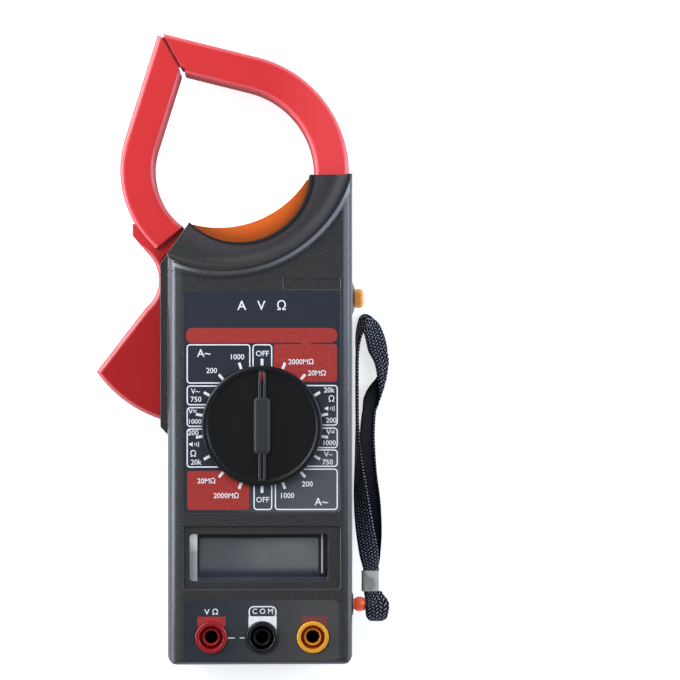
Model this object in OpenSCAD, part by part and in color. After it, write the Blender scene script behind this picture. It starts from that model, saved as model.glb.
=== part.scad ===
// Clamp meter, lying on its back.
// The origin is on the back face under the dial axis: X to the right, Y towards the jaw tip, Z out of the front.

/* [Case] */
// Width of the case over its two sides
case_w = 67.5; // [67:0.5:70]
// How far the middle of the case lies to the left of the dial axis
case_offset = 0.75; // [0.5:0.25:1.5]
// From the dial axis down to the bottom end
case_foot = 87.2; // [87:0.2:92]
// From the dial axis up to the top of the jaw post
post_top = 91.8; // [91:0.2:93]
// Depth from the back to the front face
case_d = 33.5; // [33.5:0.5:36]
// Height of the parting plane between the two shells
part_z = 17; // [16.5:0.5:17.5]
// Wall of the shells
wall = 2.2; // [2:0.1:2.4]
// Rounding of the long front edge on the left
front_round_l = 6; // [4:0.5:7]
// Rounding of the long front edge on the right
front_round_r = 4; // [3:0.5:5]
// Rounding of the edges round the back
back_round = 4; // [2:0.5:5]
// Rounding of the front edge at the bottom end
foot_round = 3; // [2:0.5:4]
// Rounding of the two bottom corners
corner_round = 4; // [3:0.5:6]
// How far the trigger slot's frame stands out of the left side
frame_proud = 2.7; // [2:0.1:3]

/* [Jaw mouth] */
// Radius of the mouth in the head of the case
mouth_r = 26; // [25.5:0.25:26.5]
// Depth of the lowered band round the mouth, from the front face
band_drop = 6; // [5.5:0.25:6]
// How far the head of the case lies over each face of the jaw arms
band_cover = 2; // [2:0.05:2.2]
// Radius of the finger guard ridge, at its crest
ridge_r = 49.8; // [49.4:0.2:50.4]
// Width of the ridge
ridge_w = 3.5; // [3:0.25:4]
// Height of the ridge over the front face
ridge_h = 1.5; // [1:0.25:2]
// Radius of the guard's free edge
guard_edge_r = 38.5; // [37:0.5:40]

/* [Jaws] */
// Width of a jaw arm
jaw_w = 12.6; // [12.2:0.2:12.8]
// Thickness of a jaw arm
jaw_t = 17; // [16.5:0.1:17]
// Edge rounding of the arms and of the trigger
jaw_round = 2; // [1:0.1:2.2]
// Width of the laminated core
core_w = 7; // [6:0.25:7.5]
// Thickness of the laminated core
core_t = 9; // [8:0.25:9]
// Gap between the two jaws at the parting line
jaw_gap = 1; // [0.6:0.1:1.2]
// Thickness of the trigger lever
lever_t = 12; // [11:0.25:12]
// Radius of the pivot pin
pin_r = 2.5; // [2.2:0.1:2.6]

/* [Dial] */
// Radius of the dial
dial_r = 21.9; // [21:0.1:22]
// Width of the dial's raised rim
dial_rim = 2.2; // [1.6:0.2:2.6]
// Width of the finger bar at its middle
bar_w = 5.6; // [4:0.2:7]
// Length of the wide part of the finger bar
bar_l = 20.4; // [16:0.4:24]
// Width of the finger bar's two ends
bar_end_w = 2.5; // [2:0.1:3]
// Radius of the dial's shaft
shaft_r = 5; // [4.6:0.1:5.2]
// Number of switch positions round the dial
detents = 18; // [12:2:24]

/* [Display] */
// From the side of the case to the opening over the display, on average
window_side = 8.6; // [8.3:0.1:9.8]
// Height of the opening over the display
window_h = 17.1; // [16:0.25:18]
// Width of the display that shows
view_w = 43.4; // [40:0.2:44]
// Height of the display that shows
view_h = 14; // [12:0.2:15]

/* [Jacks] */
// From the side of the case to the middle of an outer jack, on average
jack_side = 15.25; // [14.85:0.1:15.75]
// Outer radius of a jack's shroud
jack_r = 5.8; // [5.6:0.1:6]
// Radius of the plug's bore in the contact
plug_r = 2; // [1.9:0.05:2.1]
// Length of the plug's bore in the contact
plug_depth = 17; // [15:0.5:18]

/* [Fittings] */
// Radius of the hold button
button_r = 3.5; // [3:0.1:3.8]
// Travel of the hold button
button_travel = 1.2; // [0.8:0.1:1.4]
// Radius of the strap peg's ball
peg_ball_r = 2.8; // [2.6:0.1:3]
// Width of the wrist strap
strap_w = 7.2; // [6.8:0.1:7.4]
// Thickness of the wrist strap
strap_t = 1.2; // [1:0.05:1.2]
// Width of the battery door
door_w = 34; // [33:0.5:36]
// Length of the battery door
door_l = 67; // [67:0.5:68]

/* [Hidden] */
$fn = 72;

// Clearances: a running fit, pieces that lie beside each other, and pieces that move past each other.
// Cutters run past what they cut
run_gap = 0.06;
seat_gap = 0.1;
move_gap = 0.3;
past = 1;
far = 60;

// Case
case_left = -case_w / 2 - case_offset;
case_right = case_w / 2 - case_offset;
frame_left = case_left - frame_proud;
inner_front = case_d - wall;
band_front = case_d - band_drop;
band_back = band_front - jaw_t - 2 * band_cover;
band_in_front = band_front - wall;
band_in_back = band_back + wall;
mouth_in = 41.5;
mouth_x = case_right - mouth_in;
mouth_y = 93;
mouth_round = 1;
ridge_in = 48.2;
ridge_x = case_right - ridge_in;
ridge_y = 105.2;
step_r = ridge_r - ridge_w / 2;
cove_front = 4.5;
cove_back = 3;
ridge_round = 1.5;
mid_z = (band_front + band_back) / 2;

// The guard that stands in the mouth, deepest where its free edge leans furthest from the mouth's edge
guard_depth = 6.8;
guard_lean = 112.4;
guard_shift = guard_edge_r - mouth_r + guard_depth;
guard_edge_x = mouth_x + guard_shift * cos(guard_lean);
guard_edge_y = mouth_y + guard_shift * sin(guard_lean);
guard_lip = 1.5;
guard_lo = band_in_back + 2 * seat_gap;
guard_hi = band_in_front - 2 * seat_gap;
guard_top = mouth_y - 3;

// The slanted upper left edge of the head, through the top of the slot's frame
slant_y = 59.1;
slant_angle = 55;

// Jaw arms: bent round a centre, then straight to the tip
arm_wall = 1;
fixed_in = 45;
fixed_x = case_right - fixed_in;
fixed_y = 92.4;
fixed_r = case_right - arm_wall - jaw_w / 2 - fixed_x;
fixed_root_angle = -24;
fixed_bend_angle = 76.2;
fixed_straight = 42;
pivot_in = 3.5;
pivot_x = case_left + pivot_in;
pivot_y = 58;
arm_over = 17.5;
arm_up = 35.5;
moving_x = pivot_x + arm_over;
moving_y = pivot_y + arm_up;
moving_r = 32.2;
moving_root_angle = 236;
moving_bend_angle = 162.6;
moving_straight = 45;
tip_x = -36.8;
tip_y = 143.1;
tip_angle = -60.4;
tip_notch_r = 1.2;
tip_notch_at = [-0.8, 15.2];
core_gap = jaw_gap / 2;
jaw_z = mid_z;
arm_lo = jaw_z - jaw_t / 2;
arm_hi = jaw_z + jaw_t / 2;
lever_lo = jaw_z - lever_t / 2;
lever_hi = jaw_z + lever_t / 2;
slot_lo = lever_lo - 0.6;
slot_hi = lever_hi + 0.6;
slot_end = 0.4;
frame_wall = 2.4;

// Lever and trigger outline, measured from the pivot
hub_r = 7.5;
lever_ring = jaw_w / 2 - 0.4;
lever_top_angle = 205;
neck_x = pivot_x - 20.2;
neck_y = pivot_y - 4.7;
neck_r = 13.35;
heel_x = pivot_x + 7.9;
heel_y = pivot_y - 12.3;
heel_r = 45.9;
face_top = [pivot_x - 12, pivot_y - 15.4];
face_angle = 52.4;
lever_in_top = [pivot_x + 5.5, pivot_y - 3];
lever_in_foot = [pivot_x - 2.5, pivot_y - 57];
shoulder = [pivot_x - 16.5, pivot_y + 16];
shoulder_foot = [pivot_x - 16.5, pivot_y + 11.5];
neck_reach = norm(shoulder_foot - [neck_x, neck_y]);
neck_turn = atan2(shoulder_foot[1] - neck_y, shoulder_foot[0] - neck_x) - acos(neck_r / neck_reach);
neck_meet = [neck_x + neck_r * cos(neck_turn), neck_y + neck_r * sin(neck_turn)];
vee = [pivot_x - 7.9, pivot_y + 6.6];
vee_angle_l = 50;
vee_angle_r = 39;
moving_core_end = 226;
spring_well_r = 6.2;
spring_well_depth = 5;
spring_r = 5.1;
spring_wire = 1;
spring_turns = 3;
spring_pitch = (spring_well_depth - spring_wire - 0.3) / spring_turns;
spring_leg = 4.4;
spring_rise = 2.6;
hub_tube_r = 4.2;
pin_boss_r = 4.4;
pin_lo = band_back + 0.4;
pin_hi = band_front + 0.8;

// Coil on the part of the core that lies inside the case
core_clear = 11.8;
core_end_angle = -acos((pivot_x + core_clear - fixed_x) / (fixed_r + core_w / 2));
coil_from = -84;
coil_to = -50;
coil_w = 14;
coil_t = band_in_front - band_in_back - 6 * seat_gap;
bobbin_wall = 1;
bobbin_flange = 1.4;
tube_end = 0.2;
winding_in = seat_gap + bobbin_wall + 0.05;

// Circuit board under the front. What stands on it shares out the height that is left
pcb_t = 1.6;
pcb_lo = lever_hi + 1;
pcb_hi = pcb_lo + pcb_t;
pcb_margin = 0.8;
stack = (inner_front - pcb_hi) / 5.7;
pcb_left = case_left + wall + pcb_margin;
pcb_right = case_right - wall - pcb_margin;
pcb_foot = -case_foot + wall + pcb_margin;
pcb_top = 42;
pcb_tab_left = 12;
pcb_tab_top = 52;
pcb_screw_at = [
  [pcb_left + 4, -20], [pcb_left + 4, -62], [pcb_right - 3, -62], [pcb_right - 3, 26]
];
standoff_r = 2.4;
pcb_screw_r = 0.95;

// Screws that hold the two shells together, from the back
screw_at = [
  [case_left + 6, -case_foot + 6.2], [case_right - 5.5, -case_foot + 6.2],
  [case_right - 8, 62], [-4, 43]
];
screw_r = 1.5;
screw_head_r = 2.7;
screw_head_h = 2.2;
screw_sink = 6;
screw_boss_front_r = 3;
screw_boss_back_r = 4.2;
pcb_notch = screw_at[0][0] + screw_boss_front_r + 0.4 - pcb_left;

// Dial
label_drop = 0.4;
label_t = 0.3;
label_w = case_w - 10.3;
label_top = 48.9;
label_foot = -31.7;
label_round = 1.2;
dial_lo = case_d + 0.2;
dial_floor = case_d + 1.3;
dial_rim_top = case_d + 2.3;
bar_top = case_d + 3.5;
bar_end_top = case_d + 3;
bar_step = 0.5;
bar_groove = 1;
dial_label_gap = 0.3;
shaft_lo = pcb_hi + 0.2 * stack;
clip_t = 0.5 * stack;
rotor_lo = shaft_lo + clip_t + 0.2 * stack;
rotor_t = 1.8 * stack;
rotor_r = 16;
rotor_hub_r = 11.2;
rotor_hub_top = inner_front - move_gap;
key_flat = shaft_r - 0.8;
groove_r = shaft_r - 0.8;
detent_in_r = 12;
detent_out_r = 14.6;
detent_notch_r = 1.5;
detent_depth = 0.6;
detent_h = 2.6 * stack;
ball_r = 1.2 * stack;
ball_pocket_r = ball_r + run_gap;
ball_at = detent_in_r - seat_gap - ball_r;
ball_z = rotor_hub_top - ball_r - 0.5 * stack;
ball_angles = [10, 190];
spring_in = shaft_r + 1.4;
marker_l = 3.6;
bar_reach = dial_r - dial_rim + 0.2;

// Display
lcd_y = -48;
window_x = -1.15;
window_w = case_w - 2 * window_side;
lcd_recess_w = label_w;
lcd_recess_h = 23.2;
lcd_recess_drop = 0.8;
window_t = 1.4 * stack;
window_lap = 1.5;
window_hi = inner_front - seat_gap;
window_lo = window_hi - window_t;
frame_hi = window_lo - seat_gap;
frame_lip = 0.5 * stack;
frame_side = 1.2;
glass_t = 1.9 * stack;
glass_lap = 2.4;
glass_hi = frame_hi - frame_lip - seat_gap;
glass_lo = glass_hi - glass_t;

// Jacks
jack_y = -case_foot + 10.2;
jack_pitch = case_w / 2 - jack_side;
jack_x = [-jack_pitch, 0, jack_pitch];
jack_panel_w = case_w - 10.9;
jack_panel_h = 22.4;
jack_panel_foot = -case_foot + 1.4;
jack_rise = 0.8;
jack_body_r = jack_r - 0.6;
jack_ring = 1.4;
jack_tube_wall = 1.1;
jack_tube_r = plug_r + jack_tube_wall;
contact_r = plug_r + 0.5;
jack_tube_top = case_d - 1.2;
contact_hi = case_d - 5;
contact_lo = contact_hi - plug_depth;
sleeve_lo = contact_lo - seat_gap;
lug_t = 0.8;

// Hold button and its switch, on the right side
hold_y = 46.6;
hold_below = 7;
hold_z = pcb_lo - hold_below;
button_out = 4.7;
button_flange_t = 1;
button_flange_r = button_r + 0.8;
collar_r = 6.85;
collar_h = 1.9;
plunger_r = 1.3;
switch_size = 6;
hold_stem_r = 2;
hold_plate_w = 20.9;
hold_plate_h = 4.2;
hold_plate_y = 51.7;
switch_face = case_right - wall - 5.2;
stem_end = switch_face + button_travel + 0.4;

// Strap peg, on the right side
peg_y = -66.6;
peg_z = part_z;
peg_shank_r = 2;
peg_collar_r = 4.2;
peg_collar_t = 0.8;
peg_neck_r = 1.3;
peg_ball_x = case_right + 3.2;
peg_end = case_right + 13.6;
peg_knob_r = 1.6;
peg_flange_r = 3.4;

// Battery bay in the back
door_foot = -68;
battery_w = 26.5;
battery_l = door_l - 18.5;
battery_t = 17.5;
battery_foot = door_foot + 7;
battery_lo = 1.9;
battery_round = 2;
bay_gap = 1.2;
bay_foot = battery_foot - bay_gap;
bay_top = door_foot + door_l - 6;
bay_half = battery_w / 2 + bay_gap;
bay_wall = 1.4;
bay_wall_top = part_z - 0.4;
door_lo = 0.15;
door_t = 1.5;
door_hi = door_lo + door_t;
door_gap = 0.25;
ledge_t = 1.8;
ledge_lap = 1.8;
door_round = 2;
door_screw_at = [[0, door_foot + 3], [0, door_foot + door_l - 3]];
door_screw_r = 1.4;
door_screw_head_r = 2.6;
door_boss_r = 2.8;
door_screw_hi = 8;
snap_t = 4;
lead_r = 0.6;

// Wrist strap: points on its middle line, the way its width lies there, and its width as a share
crimp_x = 40.4;
crimp_y = -58;
crimp_l = 7.6;
crimp_wall = 0.4;
crimp_in_w = 6.2;
crimp_in_t = 3.2;
crimp_round = 0.9;
flat = [1, 0, 0];
edge = [0, 0, 1];
strap_route = [
  [[40.4, -57.8, 16.2], flat, 0.76], [[40.4, -61.6, 16.2], flat, 0.76],
  [[41.2, -64.2, 15.3], flat, 0.9], [[42.0, -67.0, 14.5], flat, 1.05],
  [[42.3, -70.6, 15.0], flat, 1.08], [[42.3, -72.4, 17.0], flat, 1.08],
  [[42.3, -70.6, 19.0], flat, 1.08], [[42.0, -67.0, 19.5], flat, 1.05],
  [[41.2, -64.2, 18.5], flat, 0.9], [[40.4, -61.6, 17.6], flat, 0.76],
  [[40.4, -57.8, 17.6], flat, 0.76], [[40.4, -54.0, 17.6], flat, 0.76],
  [[39.8, -47, 15.4], [0.97, 0, 0.2], 1], [[38.6, -37, 11.4], [0.85, 0, 0.5], 1],
  [[37.2, -26, 7.6], [0.65, 0, 0.75], 1], [[36.2, -14, 5.0], [0.3, 0, 0.95], 1],
  [[35.8, 0, 4.1], edge, 1], [[35.7, 14, 4.0], edge, 1], [[35.8, 26, 4.0], edge, 1],
  [[36.6, 34, 4.0], edge, 1], [[39.4, 38.8, 4.0], edge, 1], [[42.8, 36.8, 4.0], [-0.15, 0, 0.98], 1],
  [[44.8, 31, 3.7], [-0.5, 0, 0.85], 1], [[45.2, 24, 3.0], [-0.8, 0, 0.55], 1],
  [[44.4, 16, 3.2], [-0.75, 0, 0.65], 1], [[42.2, 9, 3.4], [-0.7, 0, 0.7], 1],
  [[39.8, 1, 3.4], [-0.68, 0, 0.72], 1], [[39.2, -9, 3.4], [-0.68, 0, 0.72], 1],
  [[39.8, -20, 3.6], [-0.8, 0, 0.6], 1], [[40.8, -31, 5.6], [-0.94, 0, 0.34], 1],
  [[41.0, -41, 9.4], [-0.99, 0, 0.1], 1], [[40.6, -49, 13.4], [-1, 0, 0], 0.95],
  [[40.4, -54.0, 16.15], [-1, 0, 0], 0.76], [[40.4, -57.0, 16.2], [-1, 0, 0], 0.76]
];
strap_steps = 2;

// Colours
charcoal = [0.19, 0.2, 0.22];
jaw_red = [0.85, 0.2, 0.2];
orange = [0.87, 0.42, 0.12];
black = [0.08, 0.08, 0.08];
navy = [0.16, 0.18, 0.23];
steel = [0.7, 0.7, 0.72];
laminate = [0.35, 0.34, 0.33];
copper = [0.7, 0.38, 0.2];
brass = [0.78, 0.62, 0.3];
board_green = [0.1, 0.35, 0.2];
cream = [0.86, 0.84, 0.78];

// Flat shapes

// A rectangle with a radius at each corner: lower left, lower right, upper right, upper left
module soft_rect(x0, x1, y0, y1, r) {
  ends = [[x0, y0], [x1 - r[1], y0], [x1 - r[2], y1 - r[2]], [x0, y1 - r[3]]];
  mids = [[x0 + r[0], y0 + r[0]], [x1 - r[1], y0 + r[1]], [x1 - r[2], y1 - r[2]], [x0 + r[3], y1 - r[3]]];
  difference() {
    translate([x0, y0]) square([x1 - x0, y1 - y0]);
    for (i = [0:3]) if (r[i] > 0) translate(ends[i]) square(r[i]);
  }
  for (i = [0:3]) if (r[i] > 0) translate(mids[i]) circle(r[i]);
}

module round_rect(w, h, r) {
  soft_rect(-w / 2, w / 2, -h / 2, h / 2, [r, r, r, r]);
}

// The corner that a rounding takes off, lying inwards from a sharp corner at the origin
module corner_waste(r) {
  difference() {
    translate([-r, -r]) square(r + past);
    translate([-r, -r]) circle(r);
    translate([-r - past, -r - past]) square([past, r + 3 * past]);
  }
}

// Everything above and to the left of the slanted edge, set inwards by a wall
module slant_side(inset) {
  translate([frame_left, slant_y]) rotate(slant_angle) translate([-far, -inset]) square([3 * far, far]);
}

// Turns a profile of radius and height about +X
module turn_x() {
  rotate([0, 90, 0]) rotate_extrude() children();
}

// Case outline

module plan_outline(inset) {
  r = corner_round - inset;
  difference() {
    soft_rect(case_left + inset, case_right - inset, -case_foot + inset, post_top - inset, [r, r, 0, 0]);
    translate([mouth_x, mouth_y]) circle(mouth_r + inset);
    slant_side(inset);
  }
}

// The block that the case is carved from, set inwards by a wall and raised at its front
module case_block(inset, raise) {
  top = case_d + raise - inset;
  back_r = back_round - inset;
  intersection() {
    linear_extrude(height = top) plan_outline(inset);
    translate([0, post_top + past, 0]) rotate([90, 0, 0])
      linear_extrude(height = post_top + case_foot + 2 * past)
        soft_rect(case_left + inset, case_right - inset, inset, top,
          [back_r, back_r, front_round_r - inset, front_round_l - inset]);
    translate([case_left - past, 0, 0]) rotate([90, 0, 90]) linear_extrude(height = case_w + 2 * past)
      soft_rect(-case_foot + inset, post_top + past, inset, top, [back_r, 0, 0, foot_round - inset / 2]);
  }
}

// Takes the head down to the band, with a cove at the foot of the ridge
module head_cut_front() {
  translate([ridge_x, ridge_y, 0]) rotate_extrude() difference() {
    translate([0, band_front]) square([step_r, far]);
    translate([step_r - cove_front, band_front]) difference() {
      square(cove_front);
      translate([0, cove_front]) circle(cove_front);
    }
  }
}

module head_cut_back() {
  translate([ridge_x, ridge_y, 0]) rotate_extrude() difference() {
    translate([0, band_back - far]) square([step_r, far]);
    translate([step_r - cove_back, band_back - cove_back]) difference() {
      square(cove_back);
      circle(cove_back);
    }
  }
}

module mouth_edge_cut() {
  translate([mouth_x, mouth_y, 0]) rotate_extrude() {
    translate([mouth_r, band_front]) mirror([1, 0]) corner_waste(mouth_round);
    translate([mouth_r, band_back]) mirror([1, 0]) mirror([0, 1]) corner_waste(mouth_round);
  }
}

module finger_ridge() {
  intersection() {
    translate([ridge_x, ridge_y, 0]) rotate_extrude() translate([step_r, 0])
      soft_rect(0, ridge_w, part_z, case_d + ridge_h, [0, 0, ridge_round, ridge_round]);
    case_block(0, ridge_h);
  }
}

module slot_frame() {
  translate([0, 0, slot_lo - frame_wall]) linear_extrude(height = slot_hi - slot_lo + 2 * frame_wall)
    difference() {
      polygon([
        [case_left + past, slot_end - 5], [frame_left, slot_end - 1], [frame_left, slant_y + 5],
        [case_left + past, slant_y + 5]
      ]);
      slant_side(0);
    }
}

module case_outside() {
  difference() {
    case_block(0, 0);
    head_cut_front();
    head_cut_back();
    mouth_edge_cut();
  }
  finger_ridge();
  slot_frame();
}

module case_inside() {
  difference() {
    case_block(wall, 0);
    translate([ridge_x, ridge_y, -past]) cylinder(r = step_r + wall, h = case_d + 2 * past);
  }
  intersection() {
    case_block(wall, 0);
    translate([-far, 0, band_in_back]) cube([2 * far, 2 * far, band_in_front - band_in_back]);
  }
}

// The way of the lever through the left side and the slanted edge
module lever_slot() {
  translate([0, 0, slot_lo]) linear_extrude(height = slot_hi - slot_lo) {
    translate([frame_left - past, slot_end]) square([frame_proud + wall + 2 * past, slant_y + 5 - slot_end]);
    intersection() {
      slant_side(wall + past);
      translate([frame_left - past, slant_y - 12]) square([22, 30]);
    }
  }
}

// The seat of the guard, in place of the wall round the mouth
module guard_seat() {
  translate([0, 0, guard_lo - seat_gap]) linear_extrude(height = guard_hi - guard_lo + 2 * seat_gap) difference() {
    translate([mouth_x, mouth_y]) circle(mouth_r + guard_lip + seat_gap);
    translate([-far, guard_top + seat_gap]) square([2 * far, far]);
  }
}

module side_holes() {
  translate([case_right - 2 * wall, hold_y, hold_z]) turn_x()
    square([button_r + run_gap, 3 * wall]);
  translate([case_right - 2 * wall, peg_y, peg_z]) turn_x()
    square([peg_shank_r + seat_gap, 3 * wall]);
}

module fixed_jaw_pocket() {
  translate([fixed_x, fixed_y, jaw_z]) rotate([0, 0, fixed_root_angle - 0.2])
    rotate_extrude(angle = 45) translate([fixed_r, 0]) round_rect(jaw_w + 2 * seat_gap, jaw_t + 2 * seat_gap, jaw_round);
}

// Case shells

module front_posts() {
  for (p = screw_at) translate([p[0], p[1], part_z]) cylinder(r = screw_boss_front_r, h = case_d - part_z - wall / 2);
  for (p = pcb_screw_at) translate([p[0], p[1], pcb_hi]) cylinder(r = standoff_r, h = case_d - pcb_hi - wall / 2);
  translate([pivot_x, pivot_y, lever_hi + move_gap]) cylinder(r = pin_boss_r, h = case_d - lever_hi - wall / 2);
  translate([pivot_x + spring_r - 2, pivot_y + 1.6, lever_hi + move_gap]) cube([3, 1.6, case_d - lever_hi - wall / 2]);
  translate([0, 0, inner_front - detent_h]) difference() {
    cylinder(r = detent_out_r, h = detent_h + wall / 2);
    translate([0, 0, -past]) cylinder(r = detent_in_r, h = detent_h + past);
    for (i = [0:detents - 1]) rotate([0, 0, i * 360 / detents])
      translate([detent_in_r + detent_depth - detent_notch_r, 0, -past])
        cylinder(r = detent_notch_r, h = detent_h + past);
  }
}

module front_openings() {
  translate([0, 0, case_d - label_drop]) linear_extrude(height = label_drop + past)
    soft_rect(-label_w / 2, label_w / 2, label_foot, label_top, label_round * [1, 1, 1, 1]);
  translate([label_w / 2 - hold_plate_w, hold_plate_y - hold_plate_h / 2, case_d - label_drop])
    cube([hold_plate_w, hold_plate_h, label_drop + past]);
  translate([0, lcd_y, case_d - lcd_recess_drop]) linear_extrude(height = lcd_recess_drop + past)
    round_rect(lcd_recess_w, lcd_recess_h, label_round);
  translate([window_x, lcd_y, inner_front - past]) linear_extrude(height = wall + 2 * past)
    round_rect(window_w, window_h, label_round);
  translate([0, 0, case_d - label_drop]) linear_extrude(height = label_drop + past)
    soft_rect(-jack_panel_w / 2, jack_panel_w / 2, jack_panel_foot, jack_panel_foot + jack_panel_h,
      2 * label_round * [1, 1, 1, 1]);
  for (x = jack_x) translate([x, jack_y, inner_front - past]) cylinder(r = jack_body_r + seat_gap, h = wall + 2 * past);
  translate([0, 0, inner_front - past]) cylinder(r = shaft_r + run_gap, h = wall + 2 * past);
  for (p = screw_at) translate([p[0], p[1], part_z - past]) cylinder(r = screw_r + 0.05, h = 11);
  for (p = pcb_screw_at) translate([p[0], p[1], pcb_hi - past]) cylinder(r = pcb_screw_r + 0.05, h = past + 4 * stack);
  translate([pivot_x, pivot_y, lever_hi]) cylinder(r = pin_r + 0.03, h = pin_hi - lever_hi + seat_gap);
}

module front_shell() {
  color(charcoal) difference() {
    intersection() {
      union() {
        difference() {
          case_outside();
          case_inside();
          lever_slot();
        }
        intersection() {
          case_outside();
          front_posts();
        }
      }
      translate([-far, -2 * far, part_z]) cube([2 * far, 4 * far, far]);
    }
    front_openings();
    guard_seat();
    side_holes();
    fixed_jaw_pocket();
  }
}

module back_posts() {
  for (p = screw_at) translate([p[0], p[1], wall / 2]) cylinder(r = screw_boss_back_r, h = part_z - wall / 2);
  translate([pivot_x, pivot_y, wall / 2]) cylinder(r = pin_boss_r, h = lever_lo - move_gap - wall / 2);
  for (p = door_screw_at) translate([p[0], p[1], wall / 2]) cylinder(r = door_boss_r, h = door_screw_hi + 1 - wall / 2);
  bay_mid = (bay_foot + bay_top) / 2;
  translate([0, bay_mid, wall / 2]) linear_extrude(height = bay_wall_top - wall / 2) difference() {
    round_rect(2 * (bay_half + bay_wall), bay_top - bay_foot + 2 * bay_wall, battery_round + bay_wall);
    round_rect(2 * bay_half, bay_top - bay_foot, battery_round);
  }
  translate([0, door_foot + door_l / 2, wall / 2])
    linear_extrude(height = door_hi + seat_gap + ledge_t - wall / 2)
      round_rect(door_w + 2 * ledge_lap, door_l + 2 * ledge_lap, door_round + ledge_lap);
  translate([fixed_x, fixed_y, wall / 2]) rotate([0, 0, (coil_from + coil_to) / 2 - 2]) rotate_extrude(angle = 4)
    translate([fixed_r - core_w / 2, 0]) square([core_w, jaw_z - coil_t / 2 - seat_gap - wall / 2]);
}

module back_openings() {
  translate([0, door_foot + door_l / 2, -past]) linear_extrude(height = door_hi + seat_gap + past)
    round_rect(door_w + 2 * door_gap, door_l + 2 * door_gap, door_round + door_gap);
  bay_mid = (bay_foot + bay_top) / 2;
  translate([0, bay_mid, -past]) linear_extrude(height = bay_wall_top + 2 * past)
    round_rect(2 * bay_half, bay_top - bay_foot, battery_round);
  for (p = door_screw_at) translate([p[0], p[1], 0]) cylinder(r = door_screw_r + 0.05, h = door_screw_hi + 0.4);
  for (p = screw_at) translate([p[0], p[1], -past]) {
    cylinder(r = screw_r + 0.15, h = part_z + 2 * past);
    cylinder(r = screw_head_r + 0.3, h = screw_sink + past);
  }
  translate([pivot_x, pivot_y, pin_lo - seat_gap]) cylinder(r = pin_r + 0.03, h = lever_lo - pin_lo);
}

module rear_shell() {
  color(charcoal) difference() {
    intersection() {
      union() {
        difference() {
          case_outside();
          case_inside();
          lever_slot();
        }
        intersection() {
          case_outside();
          back_posts();
        }
      }
      translate([-far, -2 * far, part_z - far]) cube([2 * far, 4 * far, far]);
    }
    back_openings();
    guard_seat();
    side_holes();
    fixed_jaw_pocket();
  }
}

module case_screws() {
  color(steel) for (p = screw_at) translate([p[0], p[1], screw_sink - screw_head_h]) difference() {
    union() {
      cylinder(r = screw_head_r, h = screw_head_h);
      cylinder(r = screw_r, h = part_z + 9 - screw_sink + screw_head_h);
    }
    for (a = [0, 90]) rotate([0, 0, a]) translate([-1.6, -0.35, -past]) cube([3.2, 0.7, past + 1]);
  }
}

// Battery door

module battery_door() {
  color(charcoal) translate([0, door_foot + door_l / 2, door_lo]) difference() {
    linear_extrude(height = door_t) round_rect(door_w, door_l, door_round);
    for (p = door_screw_at) translate([p[0], p[1] - door_foot - door_l / 2, 0]) {
      translate([0, 0, -past]) cylinder(r = door_screw_r + seat_gap, h = door_t + 2 * past);
      translate([0, 0, -seat_gap]) cylinder(r1 = door_screw_head_r + 2 * seat_gap, r2 = door_screw_r + seat_gap, h = door_t - 0.3);
    }
    for (i = [-2:2]) translate([-door_w / 4, door_l / 2 - 12 + 1.8 * i, -past])
      cube([door_w / 2, 0.8, past + 0.5]);
  }
}

module battery_door_screws() {
  color(steel) for (p = door_screw_at) translate([p[0], p[1], door_lo]) difference() {
    union() {
      cylinder(r1 = door_screw_head_r, r2 = door_screw_r, h = door_t - 0.4);
      cylinder(r = door_screw_r, h = door_screw_hi - door_lo);
    }
    for (a = [0, 90]) rotate([0, 0, a]) translate([-1.5, -0.3, -past]) cube([3, 0.6, past + 0.7]);
  }
}

// Mouth guard

// The plan of the moving arm's bend, with room round it
module arm_space(gap) {
  translate([moving_x, moving_y]) intersection() {
    difference() {
      circle(moving_r + jaw_w / 2 + gap);
      circle(moving_r - jaw_w / 2 - gap);
    }
    polygon([
      [0, 0], 2 * far * [cos(moving_bend_angle), sin(moving_bend_angle)],
      2 * far * [cos(200), sin(200)], 2 * far * [cos(moving_root_angle), sin(moving_root_angle)]
    ]);
  }
}

module jaw_guard() {
  color(orange) translate([0, 0, guard_lo]) linear_extrude(height = guard_hi - guard_lo) difference() {
    translate([mouth_x, mouth_y]) circle(mouth_r + guard_lip);
    translate([guard_edge_x, guard_edge_y]) circle(guard_edge_r);
    translate([-far, guard_top]) square([2 * far, far]);
    slant_side(0);
    arm_space(move_gap);
  }
}

// Jaws

// The section of an arm, without its half below or above the middle
module arm_half_section(front) {
  difference() {
    round_rect(jaw_w, jaw_t, jaw_round);
    square([core_w + 2 * seat_gap, core_t + 2 * seat_gap], center = true);
    translate([-far, front ? -far : 0]) square([2 * far, far]);
  }
}

// Sweeps a section from the root round the bend and along the straight to past the tip
module fixed_sweep(root_angle) {
  translate([fixed_x, fixed_y, jaw_z]) {
    rotate([0, 0, fixed_bend_angle]) mirror([0, 1, 0]) rotate_extrude(angle = fixed_bend_angle - root_angle)
      translate([fixed_r, 0]) children();
    rotate([0, 0, fixed_bend_angle]) mirror([0, 1, 0]) translate([fixed_r, 0, 0]) rotate([90, 0, 0])
      linear_extrude(height = fixed_straight) children();
  }
}

module moving_sweep(root_angle) {
  translate([moving_x, moving_y, jaw_z]) {
    rotate([0, 0, moving_bend_angle]) rotate_extrude(angle = root_angle - moving_bend_angle)
      translate([moving_r, 0]) children();
    rotate([0, 0, moving_bend_angle]) translate([moving_r, 0, 0]) rotate([90, 0, 0])
      linear_extrude(height = moving_straight) children();
  }
}

// The half space on one side of the parting line between the jaws
module tip_side(gap, fixed) {
  translate([tip_x, tip_y, -far / 2]) rotate([0, 0, tip_angle])
    translate([-far, fixed ? gap / 2 : -gap / 2 - 2 * far, 0]) cube([4 * far, 2 * far, 2 * far]);
}

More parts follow.
